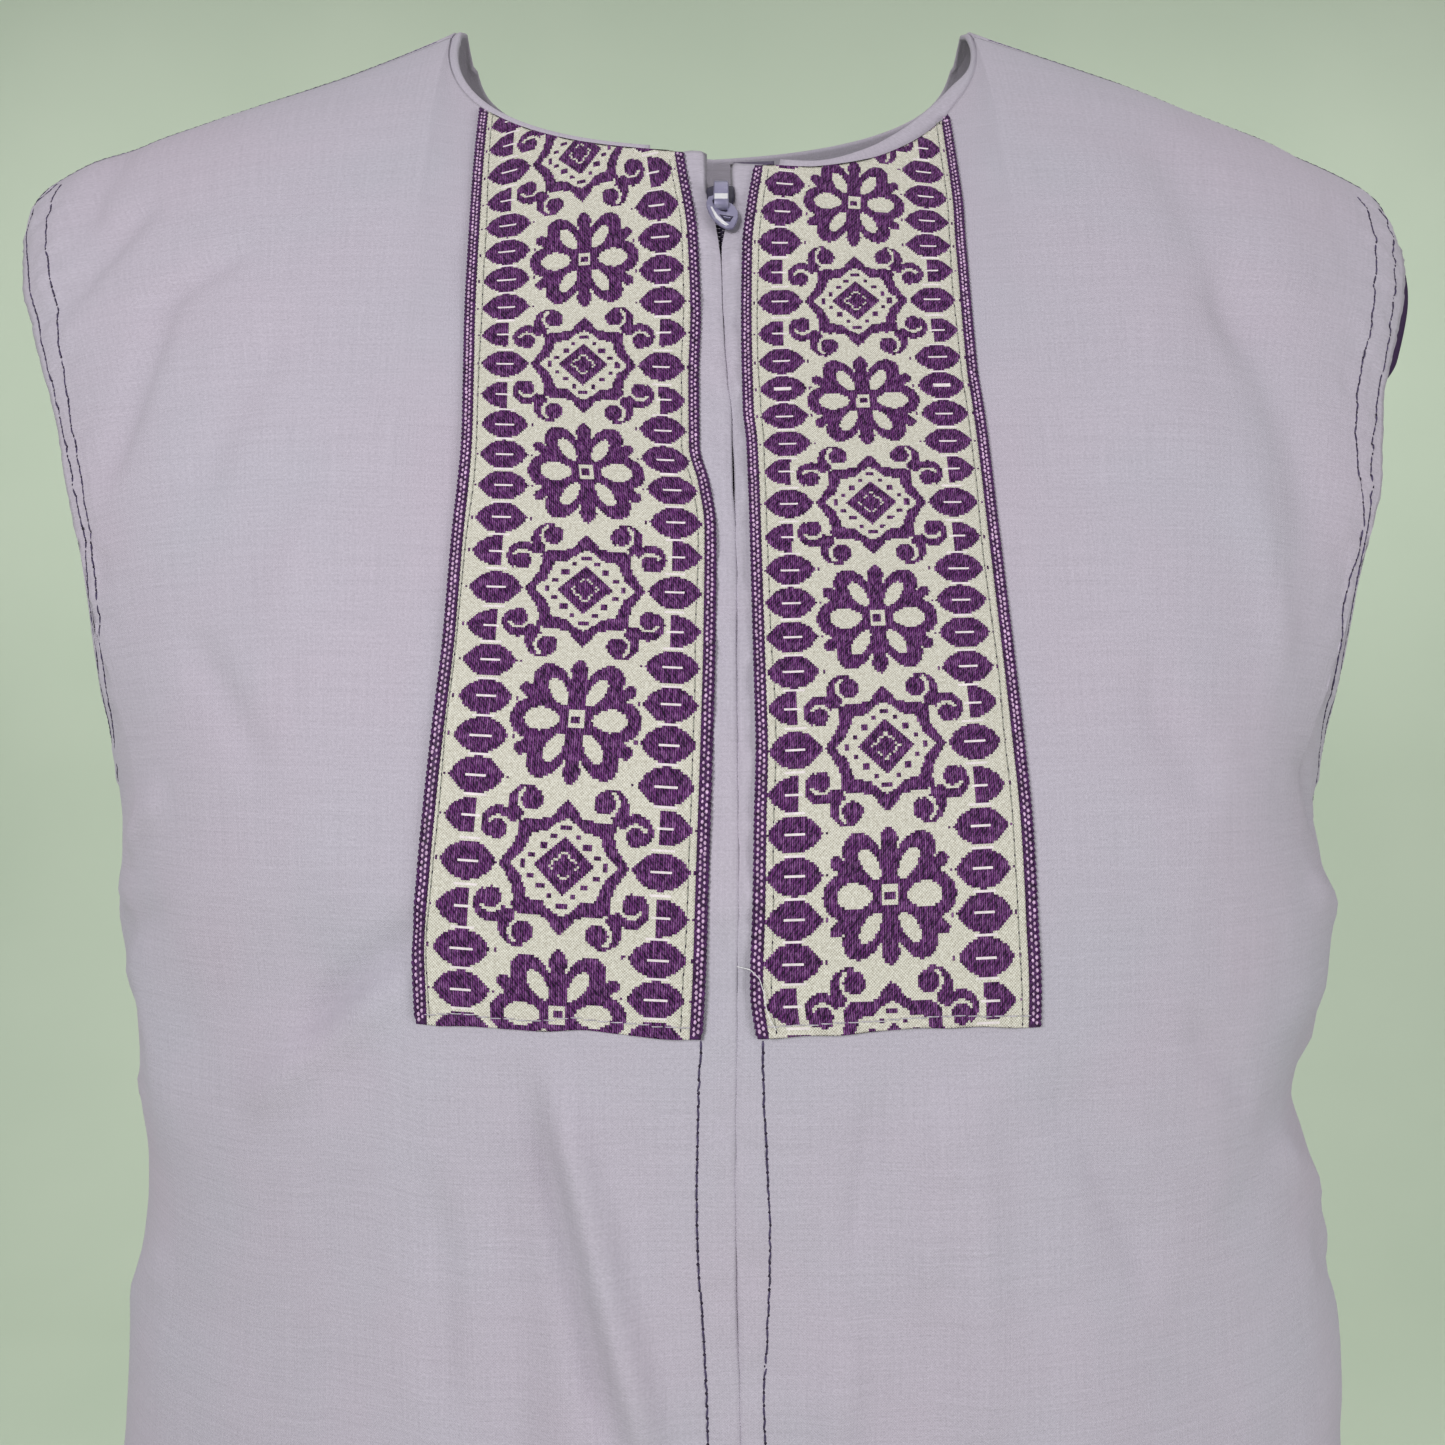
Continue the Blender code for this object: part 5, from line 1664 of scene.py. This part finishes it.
def add_ribbon_sewing(side, name, threads_of):
    """The knitted chain along both edges, and the machine stitches just inside it and along the foot."""
    rng = np.random.default_rng(50 + side)
    beads, loops, lines, holes = [], [], [], []
    for edge in (-1, 1):
        across, along = ribbon_rows(side, edge, BORDER / 2, BEAD_PITCH)
        zigzag = np.where(np.arange(len(along)) % 2, 0.45, -0.45) * edge
        across = across + zigzag + rng.normal(0, 0.05, len(along))
        jogged = along + rng.normal(0, 0.06, len(along))
        places, ways, outs = on_ribbon(side, across, jogged, CREAM_OUT + 0.16)
        size = rng.uniform(0.85, 1.15, len(along))
        beads.append(in_rows(BEAD, places, ways, outs, 0.40 * size, 0.33 * size, 0.26 * size))
        for inset, slant in ((0.12, 0.35), (BORDER - 0.2, -0.35)):
            across, along = ribbon_rows(side, edge, inset, 2 * BEAD_PITCH)
            places, ways, outs = on_ribbon(side, across, along, CREAM_OUT + 0.08)
            ways = unit(ways)
            ways = ways + np.cross(outs, ways) * slant * edge
            loops.append(in_rows(STITCH, places, ways, outs, 0.78, 0.36, 0.34))
        across, along = ribbon_rows(side, edge, 0.0, 2.85)
        reach = RIBBON_WIDTH / 2 - BORDER - 1.75 + 0.3 * wobble(along, 3.0 + edge + side, 70.0)
        if side < 0 < edge:
            reach = reach + 1.1 * ease(along / 120)
        places, ways, outs = on_ribbon(side, edge * reach, along, CREAM_OUT + 0.1)
        ways = ways + rng.normal(0, 0.02, ways.shape)
        lines.append(in_rows(STITCH, places, ways, outs, 1.42, 0.11, 0.1, 0.12))
        # dots of painted shade at the needle holes of these stitches
        places, ways, outs = on_ribbon(side, edge * reach, along + 1.42, CREAM_OUT + 0.02)
        holes.append(in_rows(HOLE, places, ways, outs, 0.42, 0.17, 0.1))
    joined_rows("ribbon_chain_" + name, beads, threads_of["bead"])
    joined_rows("ribbon_loops_" + name, loops, threads_of["border"])
    joined_rows("ribbon_stitches_" + name, lines, threads_of["ribbon_thread"])
    across = np.arange(-25.5, 26.5, 2.7)
    foot = ribbon_foot(side, across) + 2.3 + 0.4 * wobble(across, 2.0 + side, 20.0)
    x = ribbon_x(side, across, foot)
    laid = laid_across(x, foot, side, CREAM_OUT + FLOAT_RISE + 0.06, 0.5)
    run = in_rows(STITCH, *laid, 1.3, 0.14, 0.12, 0.15)
    joined_rows("ribbon_foot_stitches_" + name, [run], threads_of["pale_thread"])
    joined_rows("ribbon_needle_holes_" + name, holes, threads_of["hole"])


# Facings
def strip_along(tree, edge, centre, section_of):
    """Columns of points across an edge. section_of gives each column's (below the edge, out) pairs."""
    columns = []
    closed = np.linalg.norm(edge[0] - edge[-1]) < 0.01
    for k, point in enumerate(edge):
        before = edge[(k - 1) % (len(edge) - 1)] if closed else edge[max(k - 1, 0)]
        after = edge[(k + 1) % (len(edge) - 1)] if closed else edge[min(k + 1, len(edge) - 1)]
        down, normal = way_in(tree, point, before, after, centre)
        column = []
        for below, out in section_of(k):
            if below <= 0:
                column.append(point + down * below + normal * out)
            else:
                column.append(on_cloth(tree, point + down * below, out)[0])
        columns.append(column)
    return np.array(columns)


def add_strip(name, node_name, grids, side_signs, thickness, finish):
    """A narrow facing from the columns of its grids, as one thin wall."""
    patches = []
    for grid in grids:
        down = lengths_along(grid[0])
        run = lengths_along(grid[:, 0])
        patches.append((grid, np.stack(np.meshgrid(run, down, indexing="ij"), -1)))
    points, faces, weave = from_patches(patches, side_signs)
    shell, closed, places = wall(points, faces, weave, thickness / 2, -thickness / 2)
    obj = make_object(name, shell, closed, places, [finish])
    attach(obj, "garment")
    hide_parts(node_name)


def middle_tree(side):
    """The middle layer of the upper cloth on one side, to lay facings inside it."""
    patches = half_panel(-1, side, BACK_GRID) + half_panel(1, side, BACK_GRID)
    patches.append(over_ridge(side, BACK_GRID))
    points, faces, _ = from_patches(patches, [side] * 5)
    return tree_of(points, faces)


def add_facings(finishes):
    grids = {"arm": {}, "neck": []}
    for side in (-1, 1):
        tree = middle_tree(side)
        edge = armhole_edge(side)
        centre = np.array([side * ARMHOLE_MIDDLE_X, CENTRE_Y, ARMHOLE_MIDDLE_Z])
        z = edge[:, 2]
        front = np.arange(len(edge)) < len(edge) // 2
        past = 4.3 * ease((-30 - z) / 10) * ease((z + 96) / 16) * front if side > 0 else 0.0 * z

        def arm_section(k, past=past):
            return [(0.5 - past[k], -1.35 + 0.23 * past[k]), (1.6, -1.6), (5.0, -2.05), (9.6, -2.15)]

        grids["arm"][side] = strip_along(tree, edge, centre, arm_section)
        line = neck_edge(side, FACING_FROM_X, "facing")
        panel_line = neck_edge(side, FACING_FROM_X, "panel")
        gaps = np.array([np.min(np.linalg.norm(panel_line - point, axis=1)) for point in line])
        sign = np.where(line[:, 2] > panel_line[:, 2] - 0.01, 1.0, -1.0)
        shown = np.maximum(gaps * sign + 1.2, 0.9 if side > 0 else 2.3)
        stands = 0.0 if side > 0 else 1.2

        def neck_section(k, shown=shown, stands=stands):
            top = -1.3 - stands * ease((70 - k) / 14)
            low = top + shown[k] + 0.4
            roll = [(top + 0.7 - 0.7 * math.sin(a), -0.45 + 0.7 * math.cos(a))
                    for a in np.linspace(0, math.pi, 7)]
            return [(low + 1.6, -0.42), (low, -0.2), ((low + top) / 2 + 0.2, 0.15)] + roll + [
                (2.5, -1.45), (6.0, -1.75), (9.6, -1.85)]

        grids["neck"].append(strip_along(tree, line, np.array([0, 0, NECK_TOP / 2]), neck_section))
    for side, name in SIDES.items():
        add_strip(
            "armhole_binding_" + name, "armhole_facing_" + name, [grids["arm"][side]], [side],
            0.5, finishes["dark"],
        )
    right, left = grids["neck"]
    left[-1] = right[-1]
    add_strip(
        "neck_roll", "neck_facing", [right, left], [-1, 1],
        0.3, finishes["facing"],
    )


# Zip
def add_zip(finishes):
    for side, name in SIDES.items():
        z = np.linspace(NECK_TOP - FRONT_NECK_DROP - 1.0, ZIP_BOTTOM_Z, 240)
        share, grid_z = np.meshgrid(np.linspace(0, 1, 12), z, indexing="ij")
        start = np.maximum(TAPE_FROM, smooth(ZIP_SLOT, "half", grid_z) + 0.5)
        grid_x = start + (TAPE_TO - start) * share
        shift = side * smooth(ZIP_SLOT, "shift", grid_z)
        points, _ = laid_point(grid_x + shift, grid_z, side, TAPE_LAYER)
        patch = (points, np.stack([grid_x, grid_z], -1))
        points, faces, weave = from_patches([patch], [side])
        shell, closed, places = wall(points, faces, weave, TAPE_HALF, -TAPE_HALF)
        obj = make_object("tape_" + name, shell, closed, places, [finishes["tape"]])
        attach(obj, "garment")
        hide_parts("zip_tape_" + name)
    runs = []
    z = np.arange(PIVOT_Z + 1.8, ZIP_BOTTOM_Z, -TOOTH_PITCH)
    for side in (-1, 1):
        x = TOOTH_MIDDLE + side * smooth(ZIP_SLOT, "shift", z)
        laid = laid_across(x, z + 0.3 * side, side, TAPE_LAYER + TOOTH_OUT, 1.0)
        runs.append(in_rows(BEAD, *laid, 1.05, 0.42, 0.5))
    joined_rows("zip_teeth", runs, finishes["coil"], replaced=["zip_coil"])


def pivot_frame():
    here, _ = laid_point(0.0, PIVOT_Z, 1, PIVOT_OUT)
    above = front_point(0.0, PIVOT_Z + 2, 1)
    below = front_point(0.0, PIVOT_Z - 2, 1)
    return here, math.atan2(above[1] - below[1], above[2] - below[2])


def plate(name, outline, holes, thickness, material, round_by=0.2):
    """A flat plate in the XZ plane with rounded edges, cut from loops of (x, z) points."""
    shape = bpy.data.curves.new(name, "CURVE")
    shape.dimensions = "2D"
    shape.fill_mode = "BOTH"
    shape.extrude = thickness / 2 * MM - round_by * MM
    shape.bevel_depth = round_by * MM
    shape.bevel_resolution = 3
    for loop in [outline, *holes]:
        line = shape.splines.new("POLY")
        line.points.add(len(loop) - 1)
        line.use_cyclic_u = True
        for point, (x, z) in zip(line.points, loop):
            point.co = (x * MM, z * MM, 0, 1)
    curve = bpy.data.objects.new(name + "_line", shape)
    bpy.context.scene.collection.objects.link(curve)
    bpy.context.view_layer.update()
    mesh = bpy.data.meshes.new_from_object(curve.evaluated_get(bpy.context.evaluated_depsgraph_get()))
    bpy.data.objects.remove(curve)
    work = bmesh.new()
    work.from_mesh(mesh)
    bmesh.ops.remove_doubles(work, verts=work.verts, dist=0.00001)
    for vert in work.verts:
        x, z, y = vert.co
        vert.co = (x, -y, z)
    bmesh.ops.recalc_face_normals(work, faces=work.faces)
    work.to_mesh(mesh)
    work.free()
    mesh.materials.clear()
    mesh.materials.append(material)
    mesh.shade_smooth()
    mesh.set_sharp_from_angle(angle=math.radians(50))
    obj = bpy.data.objects.new(name, mesh)
    bpy.context.scene.collection.objects.link(obj)
    return obj


def set_on_pivot(obj):
    here, tilt = pivot_frame()
    obj.location = Vector(here) * MM
    obj.rotation_euler = (-tilt, 0, 0)


SLIDER_SHIFT = 1.6
CROWN_BACK = 2.05
TAB_TRIM_FORWARD = 0.28
TAB_OUTLINE = [
    (1.6, 0.45),
    (-1.6, 0.45),
    (-1.7, -3.8),
    (-2.9, -4.4),
    (-3.4, -6.0),
    (-3.3, -7.7),
    (-2.75, -9.6),
    (-1.95, -11.5),
    (-1.1, -12.7),
    (-0.3, -13.7),
    (0.8, -14.6),
    (1.7, -15.0),
    (2.7, -14.7),
    (3.4, -13.4),
    (3.9, -11.5),
    (3.85, -9.5),
    (3.2, -7.9),
    (2.4, -6.8),
    (1.7, -6.4),
]
TAB_SLIT = [
    (1.2, -7.0), (1.9, -9.4), (1.2, -9.8), (0.0, -9.5), (-1.0, -8.8), (-1.8, -7.4), (-2.3, -5.8),
    (-1.9, -4.9), (-1.2, -4.7),
]
TAB_EYE = [(0.2, -11.0), (2.5, -11.6), (1.9, -12.7), (1.2, -12.5)]
TAB_RIM = [(-0.3, -10.7), (2.9, -11.4), (2.1, -13.1), (0.9, -12.9)]
# The outline of a painted highlight along the tab's lower left edge
TAB_EDGE = [
    (-2.5, -8.0), (-2.25, -8.0), (-0.85, -11.1), (0.5, -12.9), (1.7, -14.1), (1.2, -14.4),
    (0.2, -13.6), (-1.2, -11.9),
]


def nudge(piece, axis, distance):
    """Moves a piece's points along one of its own axes, in millimetres."""
    for vert in piece.data.vertices:
        vert.co[axis] += distance * MM


def add_slider(finishes):
    crown = [(-3.3, 0.4), (-1.5, 1.6), (2.0, 1.35), (2.75, 1.1), (2.9, -2.6), (2.1, -6.0), (1.5, -6.7),
             (-1.5, -6.7), (-2.3, -6.0), (-3.1, -2.8)]
    # the crown carries painted shade: dark where it lies in shadow behind the strap
    body = plate("slider_crown", crown, [], 1.9, finishes["shade_lacquer"], 0.35)
    nudge(body, 1, CROWN_BACK)
    strap = [(-8.3, 0.0), (-8.4, 0.7), (-8.0, 1.4), (-7.0, 1.8), (-4.5, 1.9), (-2.2, 1.75), (-0.6, 1.3),
             (0.4, 0.9), (0.8, 0.0), (0.8, -1.3), (0.1, -1.3), (0.1, 0.1), (-0.9, 0.6), (-2.6, 0.95),
             (-6.8, 1.0), (-7.6, 0.5), (-7.6, 0.0)]
    bridge = plate("slider_bridge", strap, [], 3.4, finishes["paint"], 0.2)
    # painted highlight: a pale plate where light glints on the strap
    glint_plate = plate("slider_glint", [(-6.9, 1.4), (-6.9, 1.93), (-5.3, 2.02), (-5.3, 1.4)], [], 3.3,
                 finishes["glint"], 0.08)
    for piece in (bridge, glint_plate):
        for vert in piece.data.vertices:
            x, y, z = vert.co
            vert.co = (y, -z, x)
    tab = plate("tab_plate", TAB_OUTLINE, [TAB_SLIT, TAB_EYE], 0.8, finishes["paint"], 0.22)
    # painted highlight along the tab's edge
    edge = plate("tab_edge_glint", TAB_EDGE, [], 0.4, finishes["glint"], 0.12)
    # painted shade round the tab's eye
    rim = plate("tab_eye_rim", TAB_RIM, [TAB_EYE], 0.4, finishes["shade_lacquer"], 0.08)
    for piece in (edge, rim):
        nudge(piece, 1, -TAB_TRIM_FORWARD)
    for piece, carrier in (
        (body, "garment"), (bridge, "garment"), (glint_plate, "garment"), (tab, "pull_tab"), (edge, "pull_tab"),
        (rim, "pull_tab"),
    ):
        nudge(piece, 0, SLIDER_SHIFT)
        set_on_pivot(piece)
        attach(piece, carrier)
    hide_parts("zip_slider")
    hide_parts("zip_pull_tab")


# Small strays
LOOSE_THREAD = [
    (1.4, -224.0, 1.2),
    (4.0, -224.4, 2.3),
    (5.8, -226.2, 2.6),
    (6.6, -229.0, 2.5),
    (7.0, -232.0, 2.3),
    (7.8, -234.6, 2.2),
    (8.9, -236.6, 1.9),
]


def add_strays(finishes):
    """A loose end of white thread that lies over the left ribbon's lower inner corner."""
    spots = [laid_point(x, z, 1, out)[0] for x, z, out in LOOSE_THREAD]
    path = resample(np.array(spots), 0.6)
    ways = path[1:] - path[:-1]
    outs = np.repeat([[0.0, -1.0, 0.0]], len(ways), axis=0)
    run = in_rows(STITCH, (path[1:] + path[:-1]) / 2, ways, outs, 0.42, 0.1, 0.1)
    joined_rows("loose_thread", [run], finishes["loose_thread"])


# Build
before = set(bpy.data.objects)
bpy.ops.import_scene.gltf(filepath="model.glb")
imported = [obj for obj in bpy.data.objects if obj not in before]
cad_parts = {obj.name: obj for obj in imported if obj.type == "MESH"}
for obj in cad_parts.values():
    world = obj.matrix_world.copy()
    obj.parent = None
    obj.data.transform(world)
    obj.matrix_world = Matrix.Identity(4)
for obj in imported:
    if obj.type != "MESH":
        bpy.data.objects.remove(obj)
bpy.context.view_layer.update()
add_room()
finishes = {name: make() for name, make in COLOURS.items()}
trees = add_panels(finishes["cloth"])
for ribbon_side, ribbon_name in SIDES.items():
    ribbon_looks = [finishes["cream"], finishes["float"], finishes["border"], finishes["bar"]]
    add_ribbon("woven_ribbon_" + ribbon_name, ribbon_side, ribbon_looks, "ribbon_" + ribbon_name)
    add_ribbon_sewing(ribbon_side, ribbon_name, finishes)
add_sewing(trees, finishes)
add_facings(finishes)
add_zip(finishes)
add_slider(finishes)
add_strays(finishes)
